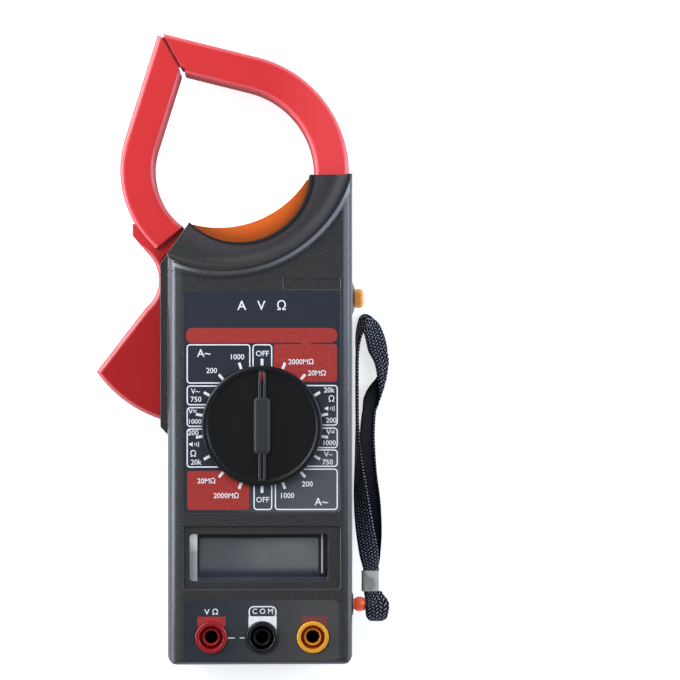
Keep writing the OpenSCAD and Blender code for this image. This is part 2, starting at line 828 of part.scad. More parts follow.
// Small notches where the parting line comes out on either side of the arms
module tip_notches() {
  translate([tip_x, tip_y, 0]) rotate([0, 0, tip_angle])
    for (s = tip_notch_at) translate([s, 0, 0]) cylinder(r = tip_notch_r, h = case_d);
}

module fixed_jaw(front) {
  difference() {
    intersection() {
      fixed_sweep(fixed_root_angle) arm_half_section(front);
      tip_side(jaw_gap, true);
    }
    tip_notches();
  }
}

module fixed_jaw_front() {
  color(jaw_red) fixed_jaw(true);
}

module fixed_jaw_rear() {
  color(jaw_red) fixed_jaw(false);
}

module fixed_core() {
  color(laminate) intersection() {
    fixed_sweep(core_end_angle) square([core_w, core_t], center = true);
    tip_side(core_gap, true);
  }
}

// The outline of the lever and trigger, which lies thinner than the arm
module lever_outline() {
  difference() {
    union() {
      intersection() {
        polygon([
          shoulder, shoulder_foot, face_top + [1, 12], face_top,
          face_top - 40 * [cos(face_angle), sin(face_angle)],
          [lever_in_foot[0], lever_in_foot[1] - 6], lever_in_foot, lever_in_top, [pivot_x, pivot_y + 4], vee + [2, 8]
        ]);
        translate([heel_x, heel_y]) circle(heel_r);
      }
      translate([pivot_x, pivot_y]) circle(hub_r);
      intersection() {
        difference() {
          translate([moving_x, moving_y]) circle(moving_r + lever_ring);
          translate([moving_x, moving_y]) circle(moving_r - lever_ring);
        }
        polygon([
          [moving_x, moving_y], [moving_x, moving_y] + far * [cos(lever_top_angle), sin(lever_top_angle)],
          [moving_x, moving_y] + far * [cos(220), sin(220)],
          [moving_x, moving_y] + far * [cos(moving_root_angle), sin(moving_root_angle)]
        ]);
      }
    }
    translate([neck_x, neck_y]) circle(neck_r);
    polygon([shoulder_foot, neck_meet, [neck_x, neck_y], [shoulder_foot[0] - 5, neck_y]]);
  }
}

// Rounds the lever's heel, its face and its neck on the side away from the middle
module lever_edge_waste() {
  translate([heel_x, heel_y, 0]) rotate_extrude() translate([heel_r, 0]) corner_waste(jaw_round);
  translate([neck_x, neck_y, 0]) rotate_extrude() translate([neck_r, 0]) mirror([1, 0]) corner_waste(jaw_round);
  translate([face_top[0], face_top[1], 0]) rotate([0, 0, face_angle + 180]) rotate([90, 0, 90])
    linear_extrude(height = far) mirror([1, 0]) corner_waste(jaw_round);
}

// The full thickness of the arm ends in a vee that points at the trigger
module vee_waste() {
  translate([vee[0], vee[1], -far / 2]) linear_extrude(height = 2 * far) difference() {
    polygon([
      [0, 0], far * [-cos(vee_angle_l), sin(vee_angle_l)], [-far, -far],
      [far, -far], far * [cos(vee_angle_r), sin(vee_angle_r)]
    ]);
    translate([-far, 30]) square(2 * far);
  }
}

module lever_half(front) {
  half = lever_t / 2;
  translate([0, 0, jaw_z]) mirror([0, 0, front ? 0 : 1]) difference() {
    linear_extrude(height = half) lever_outline();
    translate([0, 0, half]) lever_edge_waste();
  }
}

module moving_jaw(front) {
  difference() {
    union() {
      difference() {
        intersection() {
          moving_sweep(moving_root_angle) arm_half_section(front);
          tip_side(jaw_gap, false);
        }
        vee_waste();
        tip_notches();
      }
      difference() {
        lever_half(front);
        moving_sweep(moving_core_end + 1) square([core_w + 2 * seat_gap, core_t + 2 * seat_gap], center = true);
      }
    }
    translate([pivot_x, pivot_y, 0]) cylinder(r = pin_r + run_gap, h = case_d);
    if (front) translate([pivot_x, pivot_y, lever_hi - spring_well_depth]) {
      difference() {
        cylinder(r = spring_well_r, h = far);
        translate([0, 0, -past]) cylinder(r = hub_tube_r, h = far + 2 * past);
      }
      translate([spring_r - 0.8, -far, 0]) cube([1.6, far, far]);
    }
  }
}

module moving_jaw_front() {
  color(jaw_red) moving_jaw(true);
}

module moving_jaw_rear() {
  color(jaw_red) moving_jaw(false);
}

module moving_core() {
  color(laminate) intersection() {
    moving_sweep(moving_core_end) square([core_w, core_t], center = true);
    tip_side(core_gap, false);
  }
}

module jaw_pivot_pin() {
  color(steel) translate([pivot_x, pivot_y, pin_lo]) cylinder(r = pin_r, h = pin_hi - pin_lo);
}

// Sweeps a section along points, with the section given at each of them
module swept_tube(rings) {
  n = len(rings);
  m = len(rings[0]);
  polyhedron(
    points = [for (ring = rings) for (p = ring) p],
    faces = concat(
      [for (i = [1:m - 2]) [0, i, i + 1]],
      [for (i = [1:m - 2]) [(n - 1) * m, (n - 1) * m + i + 1, (n - 1) * m + i]],
      [for (k = [0:n - 2], i = [0:m - 1]) [k * m + i, (k + 1) * m + i, k * m + (i + 1) % m]],
      [for (k = [0:n - 2], i = [0:m - 1]) [(k + 1) * m + i, (k + 1) * m + (i + 1) % m, k * m + (i + 1) % m]]
    )
  );
}

// The rings of a coil of wire about +Z
function coil_rings(r, wire, pitch, turns, steps, sides) = [
  for (i = [0:turns * steps]) let (a = 360 * i / steps, z = pitch * i / steps)
    [for (j = [0:sides - 1]) let (b = 360 * j / sides, q = r + wire / 2 * cos(b))
      [q * cos(a), q * sin(a), z + wire / 2 * sin(b)]]
];

// A ring of wire about +X at a point, leaning back by an angle
function wire_ring(p, wire, lean, sides) = [
  for (j = [0:sides - 1]) let (b = 360 * j / sides)
    p + wire / 2 * [cos(b), -sin(b) * sin(lean), sin(b) * cos(lean)]
];

// The lower leg lies in the lever, and the upper end turns up beside the pivot's boss
module jaw_spring() {
  top = spring_turns * spring_pitch;
  color(steel) translate([pivot_x, pivot_y, lever_hi - spring_well_depth + spring_wire / 2 + seat_gap])
    swept_tube(concat(
      [wire_ring([spring_r, -spring_leg, 0], spring_wire, 0, 6)],
      coil_rings(spring_r, spring_wire, spring_pitch, spring_turns, 16, 6),
      [wire_ring([spring_r, 0.7, top + 0.3], spring_wire, 45, 6), wire_ring([spring_r, 1, top + 1], spring_wire, 90, 6),
        wire_ring([spring_r, 1, top + spring_rise], spring_wire, 90, 6)]
    ));
}

// Pick-up coil

module coil_sector(from, to) {
  translate([fixed_x, fixed_y, jaw_z]) rotate([0, 0, from]) rotate_extrude(angle = to - from)
    translate([fixed_r, 0]) children();
}

module bobbin_bore() {
  square([core_w + 2 * seat_gap, core_t + 2 * seat_gap], center = true);
}

module bobbin_tube() {
  square([core_w + 2 * (seat_gap + bobbin_wall), core_t + 2 * (seat_gap + bobbin_wall)], center = true);
}

flange_angle = bobbin_flange / fixed_r * 180 / PI;

module coil_bobbin() {
  seat = 2 * seat_gap + bobbin_wall;
  color(cream) {
    coil_sector(coil_from - tube_end, coil_to + tube_end) difference() {
      bobbin_tube();
      bobbin_bore();
    }
    for (a = [coil_from, coil_to - flange_angle]) coil_sector(a, a + flange_angle) difference() {
      round_rect(coil_w, coil_t, 1);
      square([core_w + seat, core_t + seat], center = true);
    }
  }
}

module coil_winding() {
  gap_angle = 0.05 / fixed_r * 180 / PI;
  color(copper) coil_sector(coil_from + flange_angle + gap_angle, coil_to - flange_angle - gap_angle) difference() {
    round_rect(coil_w - 1.2, coil_t - 1.2, 2);
    square([core_w + 2 * winding_in, core_t + 2 * winding_in], center = true);
  }
}

// A lead that runs level towards -Y or +Y and then turns up to the board
lead_bend = 2;
coil_lead_x = [4, 7];
coil_lead_z = pcb_lo - seat_gap - lead_bend;
coil_lead_foot = 40;

module lead_up(x, from_y, to_y, z, top) {
  run = abs(to_y - from_y) - lead_bend;
  translate([x, from_y, z]) rotate([0, 0, to_y > from_y ? 0 : 180]) {
    rotate([-90, 0, 0]) cylinder(r = lead_r, h = run);
    translate([0, run, lead_bend]) rotate([0, 90, 0]) rotate_extrude(angle = 90) translate([lead_bend, 0]) circle(lead_r);
    if (top - z > lead_bend + seat_gap)
      translate([0, run + lead_bend, lead_bend]) cylinder(r = lead_r, h = top - z - lead_bend);
  }
}

module coil_leads() {
  color(copper) for (x = coil_lead_x) {
    start = floor(10 * (fixed_y - sqrt(pow(fixed_r + coil_w / 2 + seat_gap, 2) - pow(x - fixed_x, 2)) - 0.4)) / 10;
    lead_up(x, start, coil_lead_foot, coil_lead_z, pcb_lo - seat_gap);
  }
}

// Circuit board

module main_pcb() {
  color(board_green) translate([0, 0, pcb_lo]) linear_extrude(height = pcb_t) difference() {
    union() {
      translate([pcb_left, pcb_foot]) square([pcb_right - pcb_left, pcb_top - pcb_foot]);
      translate([pcb_tab_left, pcb_top - past]) square([pcb_right - pcb_tab_left, pcb_tab_top - pcb_top + past]);
    }
    for (p = screw_at) translate(p) circle(screw_boss_front_r + 0.4);
    translate([pcb_left - past, pcb_foot - past]) square(pcb_notch + past);
    translate([pcb_right - pcb_notch, pcb_foot - past]) square(pcb_notch + past);
    for (p = pcb_screw_at) translate(p) circle(pcb_screw_r + 0.1);
    for (x = jack_x) translate([x, jack_y]) circle(jack_body_r + 0.3);
  }
}

module pcb_screws() {
  color(steel) for (p = pcb_screw_at) translate([p[0], p[1], pcb_lo]) {
    translate([0, 0, -1.2]) cylinder(r = 1.9, h = 1.2);
    cylinder(r = pcb_screw_r, h = pcb_t + 3 * stack);
  }
}

// Dial

module bar_outline(inset) {
  round_rect(bar_w - 2 * inset, bar_l - 2 * inset, 1.4 - inset);
}

module dial_knob() {
  color(black) {
    difference() {
      union() {
        rotate_extrude() {
          soft_rect(dial_r - dial_rim, dial_r, dial_lo, dial_rim_top, [0, 0, 0.7, 0.7]);
          translate([0, dial_lo]) square([dial_r - dial_rim / 2, dial_floor - dial_lo]);
        }
        translate([0, 0, dial_floor - 0.2]) {
          linear_extrude(height = bar_top - bar_step - dial_floor + 0.2) bar_outline(0);
          linear_extrude(height = bar_top - dial_floor + 0.2) bar_outline(bar_step);
        }
        difference() {
          translate([0, 0, dial_floor - 0.2]) linear_extrude(height = bar_end_top - dial_floor + 0.2)
            round_rect(bar_end_w, 2 * bar_reach, 0.6);
          translate([-bar_groove / 2, -bar_reach + 0.8, bar_end_top - 0.6])
            cube([bar_groove, 2 * bar_reach - marker_l - 0.8, 1]);
        }
        translate([0, 0, shaft_lo]) cylinder(r = shaft_r, h = dial_floor - shaft_lo);
      }
      translate([key_flat, -far, shaft_lo - past]) cube([far, 2 * far, rotor_hub_top - shaft_lo + past]);
      translate([0, 0, shaft_lo + 0.1 * stack]) difference() {
        cylinder(r = shaft_r + past, h = clip_t + 0.2 * stack);
        translate([0, 0, -past]) cylinder(r = groove_r, h = clip_t + 3 * past);
      }
      marker_space(seat_gap / 2);
    }
  }
}

// The red line let into the end of the finger bar
module marker_space(gap) {
  translate([-bar_end_w * 0.28 - gap, bar_reach - marker_l - gap, bar_end_top - 0.8 - gap])
    cube([bar_end_w * 0.56 + 2 * gap, marker_l - 0.6 + 2 * gap, 3]);
}

module dial_marker() {
  color(jaw_red) intersection() {
    marker_space(0);
    translate([-far, -far, 0]) cube([2 * far, 2 * far, bar_end_top]);
  }
}

module contact_rotor() {
  color(cream) difference() {
    union() {
      translate([0, 0, rotor_lo]) cylinder(r = rotor_r, h = rotor_t);
      translate([0, 0, rotor_lo]) cylinder(r = rotor_hub_r, h = rotor_hub_top - rotor_lo);
    }
    difference() {
      cylinder(r = shaft_r + 0.03, h = case_d);
      translate([key_flat + 0.03, -far, 0]) cube([far, 2 * far, case_d]);
    }
    for (a = ball_angles) rotate([0, 0, a]) translate([spring_in - 0.1, 0, ball_z]) rotate([0, 90, 0])
      cylinder(r = ball_pocket_r, h = far);
  }
}

wiper_l = 7;
wiper_w = 1.6;
wiper_t = 0.3;
wiper_rows = [9, 11.5, 14];
wiper_dimple_r = 0.5;

module wiper_contacts() {
  color(brass) for (r = wiper_rows) translate([0, r, rotor_lo - wiper_t]) {
    translate([-wiper_l / 2, -wiper_w / 2, 0]) cube([wiper_l, wiper_w, wiper_t]);
    for (x = [-1, 1] * (wiper_l / 2 - 0.8)) translate([x, 0, 0]) intersection() {
      sphere(wiper_dimple_r);
      translate([-past, -past, -past]) cube([2 * past, 2 * past, past + wiper_t / 2]);
    }
  }
}

module detent_balls() {
  color(steel) for (a = ball_angles) rotate([0, 0, a]) translate([ball_at, 0, ball_z]) sphere(ball_r);
}

spring_wire_thin = 0.3;
detent_spring_r = ball_r - 0.3;
detent_spring_turns = 5;

module detent_springs() {
  room = ball_at - spring_in - sqrt(ball_r * ball_r - detent_spring_r * detent_spring_r) - spring_wire_thin - 0.05;
  color(steel) for (a = ball_angles) rotate([0, 0, a])
    translate([spring_in + spring_wire_thin / 2, 0, ball_z]) rotate([0, 90, 0])
      swept_tube(coil_rings(detent_spring_r, spring_wire_thin, room / detent_spring_turns, detent_spring_turns, 10, 5));
}

module dial_clip() {
  color(steel) translate([0, 0, shaft_lo + 0.2 * stack]) linear_extrude(height = clip_t) difference() {
    circle(shaft_r + 1.6);
    circle(groove_r + 0.05);
    translate([-groove_r * 0.75, -far]) square([groove_r * 1.5, far]);
  }
}

// Display

module lcd_window() {
  color([0.7, 0.75, 0.75, 0.4]) translate([window_x, lcd_y, window_lo]) linear_extrude(height = window_t)
    round_rect(window_w + 2 * window_lap, window_h + 2 * window_lap, label_round);
}

module lcd_frame() {
  out_w = view_w + 2 * (glass_lap + seat_gap + frame_side);
  out_h = view_h + 2 * (glass_lap + seat_gap + frame_side);
  in_w = view_w + 2 * (glass_lap + seat_gap);
  in_h = view_h + 2 * (glass_lap + seat_gap);
  color(black) translate([window_x, lcd_y, 0]) difference() {
    translate([0, 0, pcb_hi]) linear_extrude(height = frame_hi - pcb_hi) round_rect(out_w, out_h, 1);
    translate([0, 0, pcb_hi - past]) linear_extrude(height = frame_hi - frame_lip - pcb_hi + past)
      square([in_w, in_h], center = true);
    linear_extrude(height = case_d) round_rect(view_w, view_h, 0.6);
  }
}

module lcd_panel() {
  color([0.45, 0.5, 0.48]) translate([window_x, lcd_y, glass_lo]) linear_extrude(height = glass_t)
    square([view_w + 2 * glass_lap, view_h + 2 * glass_lap], center = true);
}

module zebra_strip() {
  color([0.75, 0.5, 0.5]) translate([window_x, lcd_y + view_h / 2 + glass_lap / 2 - 0.2, pcb_hi])
    linear_extrude(height = glass_lo - pcb_hi) square([view_w - 2, 2], center = true);
}

// Labels

module face_label() {
  m = seat_gap;
  color(navy) translate([0, 0, case_d - label_drop]) linear_extrude(height = label_t) difference() {
    soft_rect(-label_w / 2 + m, label_w / 2 - m, label_foot + m, label_top - m, (label_round - m) * [1, 1, 1, 1]);
    circle(shaft_r + 1);
  }
}

module jack_label() {
  m = seat_gap;
  color(charcoal) translate([0, 0, case_d - label_drop]) linear_extrude(height = label_t) difference() {
    soft_rect(-jack_panel_w / 2 + m, jack_panel_w / 2 - m, jack_panel_foot + m, jack_panel_foot + jack_panel_h - m,
      (2 * label_round - m) * [1, 1, 1, 1]);
    for (x = jack_x) translate([x, jack_y]) circle(jack_r + 2 * seat_gap);
  }
}

// Jacks

module jack_sleeve(x) {
  seat = case_d - label_drop;
  top = case_d + jack_rise;
  translate([x, jack_y, 0]) rotate_extrude() difference() {
    union() {
      soft_rect(0, jack_r, seat, top, [0, 0, 0.5, 0]);
      translate([0, sleeve_lo]) square([jack_body_r, top - sleeve_lo - 0.6]);
    }
    translate([jack_tube_r, sleeve_lo + 2]) square([jack_r - jack_ring - jack_tube_r, far]);
    translate([0, jack_tube_top]) square([jack_tube_r + past / 2, far]);
    translate([0, sleeve_lo - past]) square([contact_r + 0.03, far]);
  }
}

module red_jack() {
  color([0.75, 0.1, 0.14]) jack_sleeve(jack_x[0]);
}

module black_jack() {
  color(black) jack_sleeve(jack_x[1]);
}

module yellow_jack() {
  color([0.94, 0.68, 0.12]) jack_sleeve(jack_x[2]);
}

module jack_contacts() {
  color(brass) for (x = jack_x) translate([x, jack_y, 0]) rotate_extrude() difference() {
    union() {
      translate([0, contact_lo - lug_t]) square([contact_r, contact_hi - contact_lo + lug_t]);
      translate([0, sleeve_lo - lug_t]) square([jack_tube_r, lug_t - 0.02]);
    }
    translate([0, contact_lo]) square([plug_r, far]);
  }
}

// Hold button

flange_x = case_right - wall - seat_gap - button_flange_t;

module hold_button() {
  color(orange) translate([0, hold_y, hold_z]) {
    translate([flange_x, 0, 0]) turn_x() square([button_flange_r, button_flange_t]);
    translate([flange_x, 0, 0]) turn_x()
      soft_rect(0, button_r, 0, case_right + button_out - flange_x, [0, 0, 1.6, 0]);
    translate([stem_end, 0, 0]) turn_x() square([hold_stem_r, flange_x - stem_end + past / 2]);
  }
}

module hold_plunger() {
  color(black) translate([switch_face - 2, hold_y, hold_z]) turn_x() square([plunger_r - run_gap, stem_end - switch_face + 2]);
}

module hold_switch() {
  half = switch_size / 2;
  color(steel) difference() {
    union() {
      translate([switch_face - 4.5, hold_y - half, hold_z - half]) cube([4.5, switch_size, switch_size]);
      translate([switch_face - 4.5, hold_y - half, hold_z + half - past])
        cube([1.2, switch_size, pcb_lo - hold_z - half + past]);
    }
    translate([switch_face - 2 - button_travel - 0.4, hold_y, hold_z]) turn_x() square([plunger_r, far]);
  }
}

module hold_collar() {
  cap_r = (collar_r * collar_r + collar_h * collar_h) / (2 * collar_h);
  color(black) translate([case_right, hold_y, hold_z]) turn_x() difference() {
    intersection() {
      translate([0, collar_h - cap_r]) circle(cap_r, $fn = 288);
      square([collar_r + past, collar_h]);
    }
    square([button_r + 2 * seat_gap, 3 * collar_h], center = true);
    translate([0, -far]) square([button_r + 2 * seat_gap, 2 * far]);
  }
}

// Strap peg

module strap_peg() {
  in_x = case_right - wall - seat_gap - 1.2;
  color([0.9, 0.3, 0.14]) translate([0, peg_y, peg_z]) turn_x() {
    translate([0, in_x]) square([peg_flange_r, 1.2]);
    translate([0, in_x]) square([peg_shank_r, peg_ball_x - in_x]);
    intersection() {
      translate([0, peg_ball_x]) circle(peg_ball_r);
      translate([0, case_right + peg_collar_t + 0.05]) square(far);
    }
    translate([0, peg_ball_x]) square([peg_neck_r, peg_end - peg_ball_x - 1]);
    translate([0, peg_end - 1.4]) soft_rect(0, peg_knob_r, 0, 1.4, [0, 0.4, 0.4, 0]);
  }
}

module peg_collar() {
  color(black) translate([case_right, peg_y, peg_z]) turn_x() difference() {
    soft_rect(0, peg_collar_r, 0, peg_collar_t, [0, 0, 0.4, 0]);
    square([peg_shank_r + 0.05, 3], center = true);
    translate([0, -1]) square([peg_shank_r + 0.05, 3]);
  }
}

// Wrist strap

function unit(v) = v / norm(v);
function mix(a, b, t) = a * (1 - t) + b * t;

// A point on the smooth curve through four neighbours
function through(p0, p1, p2, p3, t) = 0.5 * (2 * p1 + (p2 - p0) * t + (2 * p0 - 5 * p1 + 4 * p2 - p3) * t * t
  + (3 * p1 - p0 - 3 * p2 + p3) * t * t * t);

strap_last = len(strap_route) - 1;

function strap_point(u) = let (
  i = min(floor(u), strap_last - 1),
  a = max(i - 1, 0),
  d = min(i + 2, strap_last)
) through(strap_route[a][0], strap_route[i][0], strap_route[i + 1][0], strap_route[d][0], u - i);

function strap_ring(u) = let (
  i = min(floor(u), strap_last - 1),
  t = u - i,
  p = strap_point(u),
  run = unit(strap_point(min(u + 0.05, strap_last)) - strap_point(max(u - 0.05, 0))),
  lie = mix(strap_route[i][1], strap_route[i + 1][1], t),
  side = unit(lie - run * (lie * run)),
  face = cross(run, side),
  half = strap_w / 2 * mix(strap_route[i][2], strap_route[i + 1][2], t),
  h = strap_t / 2,
  rim = h * 0.6
) [
  p + side * half + face * (h - rim), p + side * (half - rim) + face * h,
  p - side * (half - rim) + face * h, p - side * half + face * (h - rim),
  p - side * half - face * (h - rim), p - side * (half - rim) - face * h,
  p + side * (half - rim) - face * h, p + side * half - face * (h - rim)
];

module wrist_strap() {
  color([0.1, 0.1, 0.1]) swept_tube([for (k = [0:strap_last * strap_steps]) strap_ring(k / strap_steps)]);
}

module strap_crimp() {
  out_w = crimp_in_w + 2 * crimp_wall;
  out_t = crimp_in_t + 2 * crimp_wall;
  color(steel) translate([crimp_x, crimp_y + crimp_l / 2, part_z - 0.1]) rotate([90, 0, 0])
    linear_extrude(height = crimp_l) difference() {
      round_rect(out_w, out_t, crimp_round);
      round_rect(crimp_in_w, crimp_in_t, crimp_round - crimp_wall);
    }
}

// Battery

battery_hi = battery_lo + battery_t;
battery_top = battery_foot + battery_l;

module battery() {
  color([0.2, 0.2, 0.22]) {
    translate([0, battery_top, battery_lo + battery_t / 2]) rotate([90, 0, 0]) linear_extrude(height = battery_l)
      round_rect(battery_w, battery_t, battery_round);
    for (x = [-6.35, 6.35]) translate([x, battery_top, battery_lo + battery_t / 2]) rotate([-90, 0, 0])
      cylinder(r = 2.8, h = 2.4);
  }
}

snap_foot = battery_top + 0.1;

module battery_snap() {
  color(black) difference() {
    translate([0, snap_foot + snap_t, battery_lo + battery_t / 2]) rotate([90, 0, 0]) linear_extrude(height = snap_t)
      round_rect(battery_w - 1, battery_t - 3, 3);
    for (x = [-6.35, 6.35]) translate([x, battery_top - past, battery_lo + battery_t / 2]) rotate([-90, 0, 0])
      cylinder(r = 2.9, h = 2.6 + past);
  }
}

snap_top = snap_foot + snap_t;
battery_lead_z = bay_wall_top + lead_r + 0.2;

module battery_leads() {
  color([0.7, 0.1, 0.1]) for (x = [-4, 4]) lead_up(x, snap_top + 0.05, snap_top + 4.5, battery_lead_z, pcb_lo - seat_gap);
}

// Buzzer

buzzer_at = [pcb_right - 16.5, 33];
buzzer_r = 10;
buzzer_t = 3.6 * stack;

module piezo_buzzer() {
  color(black) translate([buzzer_at[0], buzzer_at[1], pcb_hi]) difference() {
    cylinder(r = buzzer_r, h = buzzer_t);
    translate([0, 0, buzzer_t - 1]) cylinder(r = 1.2, h = 2);
  }
}

front_shell();
rear_shell();
case_screws();
battery_door();
battery_door_screws();
jaw_guard();
fixed_jaw_front();
fixed_jaw_rear();
fixed_core();
coil_bobbin();
coil_winding();
coil_leads();
moving_jaw_front();
moving_jaw_rear();
moving_core();
jaw_pivot_pin();
jaw_spring();
main_pcb();
pcb_screws();
dial_knob();
dial_marker();
contact_rotor();
wiper_contacts();
detent_balls();
detent_springs();
dial_clip();
lcd_window();
lcd_frame();
lcd_panel();
zebra_strip();
face_label();
jack_label();
red_jack();
black_jack();
yellow_jack();
jack_contacts();
hold_button();
hold_plunger();
hold_switch();
hold_collar();
strap_peg();
peg_collar();
wrist_strap();
strap_crimp();
battery();
battery_snap();
battery_leads();
piezo_buzzer();
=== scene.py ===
# %% [markdown]
# # A clamp meter in its studio
# The solid pieces of the meter come from its CAD model. This script sets up the picture, gives the pieces
# their finishes, weaves the wrist strap and prints the two labels. Lengths are in metres, and `MM` turns
# millimetres into them. X runs to the right, Y towards the jaw tip and Z out of the meter's face.

# %% Start from the CAD model
import math
import bpy
import bmesh
from mathutils import Matrix, Vector


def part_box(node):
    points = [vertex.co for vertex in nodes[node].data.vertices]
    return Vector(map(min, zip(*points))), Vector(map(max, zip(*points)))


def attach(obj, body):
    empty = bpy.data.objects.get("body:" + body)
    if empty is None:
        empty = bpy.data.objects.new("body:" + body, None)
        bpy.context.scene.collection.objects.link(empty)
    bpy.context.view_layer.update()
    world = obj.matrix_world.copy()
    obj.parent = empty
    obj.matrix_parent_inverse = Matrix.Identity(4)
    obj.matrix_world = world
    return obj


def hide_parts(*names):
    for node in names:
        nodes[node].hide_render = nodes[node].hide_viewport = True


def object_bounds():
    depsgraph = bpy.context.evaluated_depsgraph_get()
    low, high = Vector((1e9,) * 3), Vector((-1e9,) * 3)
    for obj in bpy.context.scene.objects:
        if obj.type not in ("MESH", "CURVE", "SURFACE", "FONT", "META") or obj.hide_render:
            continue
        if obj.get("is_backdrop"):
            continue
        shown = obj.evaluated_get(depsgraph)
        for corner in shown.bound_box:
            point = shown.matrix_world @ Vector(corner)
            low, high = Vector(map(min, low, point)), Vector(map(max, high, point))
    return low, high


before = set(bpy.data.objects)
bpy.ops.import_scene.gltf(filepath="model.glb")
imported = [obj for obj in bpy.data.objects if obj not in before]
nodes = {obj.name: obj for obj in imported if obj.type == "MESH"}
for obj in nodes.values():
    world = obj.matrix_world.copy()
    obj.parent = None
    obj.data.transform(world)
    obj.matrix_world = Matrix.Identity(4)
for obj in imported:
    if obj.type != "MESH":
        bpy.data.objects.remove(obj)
cad_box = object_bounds()
MM = 0.001
scene = bpy.context.scene
print(len(nodes), "pieces from the CAD model")

# %% [markdown]
# ## The camera
# The meter is pictured from straight above with a long lens. The camera stands over the meter and leans a
# little to the right, because the meter isn't in the middle of the picture. An orthographic camera would
# lose the slight view of the jaws' inner walls, so this one has perspective.

# %% Camera
CAMERA_AT = Vector((-2.6, 33.0, 1000.0)) * MM
LOOK_AT = Vector((28.5, 31.2, 30.0)) * MM
LENS = 140.6
SENSOR_W = 36.0

camera_data = bpy.data.cameras.new("camera")
camera_data.lens = LENS
camera_data.sensor_width = SENSOR_W
camera = bpy.data.objects.new("camera", camera_data)
scene.collection.objects.link(camera)
camera.location = CAMERA_AT
ahead = (LOOK_AT - CAMERA_AT).normalized()
right = ahead.cross(Vector((0, 1, 0))).normalized()
up = right.cross(ahead)
camera.rotation_euler = Matrix((right, up, -ahead)).transposed().to_euler()
scene.camera = camera
print("the camera looks at", tuple(round(v, 3) for v in LOOK_AT))

# %% [markdown]
# ## Small helpers
# Everything made here is a closed mesh in the meter's own coordinates, so its object stays at the origin.

# %% Mesh helpers
def add_object(name, mesh, material=None, body="case"):
    obj = bpy.data.objects.new(name, mesh)
    scene.collection.objects.link(obj)
    if material is not None:
        mesh.materials.clear()
        mesh.materials.append(material)
    if body is not None:
        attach(obj, body)
    return obj


def thicken(bm, faces, rise):
    """Makes flat faces a solid by lifting a copy of them."""
    made = bmesh.ops.extrude_face_region(bm, geom=faces, use_keep_orig=True)["geom"]
    lifted = [part for part in made if isinstance(part, bmesh.types.BMVert)]
    bmesh.ops.translate(bm, verts=lifted, vec=(0, 0, rise * MM))


def plate(bm, points, low, high):
    """A flat plate with this outline, between two heights."""
    foot = bm.faces.new([bm.verts.new((x * MM, y * MM, low * MM)) for x, y in points])
    thicken(bm, [foot], high - low)


def band(bm, outer, inner, low, high):
    """A flat frame between two outlines, between two heights."""
    edges = []
    for points in (outer, inner):
        loop = [bm.verts.new((x * MM, y * MM, low * MM)) for x, y in points]
        edges += [bm.edges.new(pair) for pair in zip(loop, loop[1:] + loop[:1])]
    thicken(bm, bmesh.ops.bridge_loops(bm, edges=edges)["faces"], high - low)


def round_box(x0, x1, y0, y1, radius, steps=6):
    """The outline of a box with round corners, against the clock."""
    corners = [(x1 - radius, y0 + radius, -90), (x1 - radius, y1 - radius, 0),
               (x0 + radius, y1 - radius, 90), (x0 + radius, y0 + radius, 180)]
    points = []
    for cx, cy, start in corners:
        for k in range(steps + 1):
            a = math.radians(start + 90 * k / steps)
            points.append((cx + radius * math.cos(a), cy + radius * math.sin(a)))
    return points


def finish_mesh(bm, name):
    mesh = bpy.data.meshes.new(name)
    bm.to_mesh(mesh)
    bm.free()
    return mesh

# %% [markdown]
# ## The wrist strap
# The strap is a flat woven tape. It starts in its metal crimp, goes round the peg, back through the crimp
# and along the side of the meter in one long loop. It could be simulated as cloth, but the way it lies is
# known, so it is swept along points: each says where the middle of the tape is, which way its width points
# and how wide it is. A cross section with a slightly swollen middle gives it the softness of webbing.

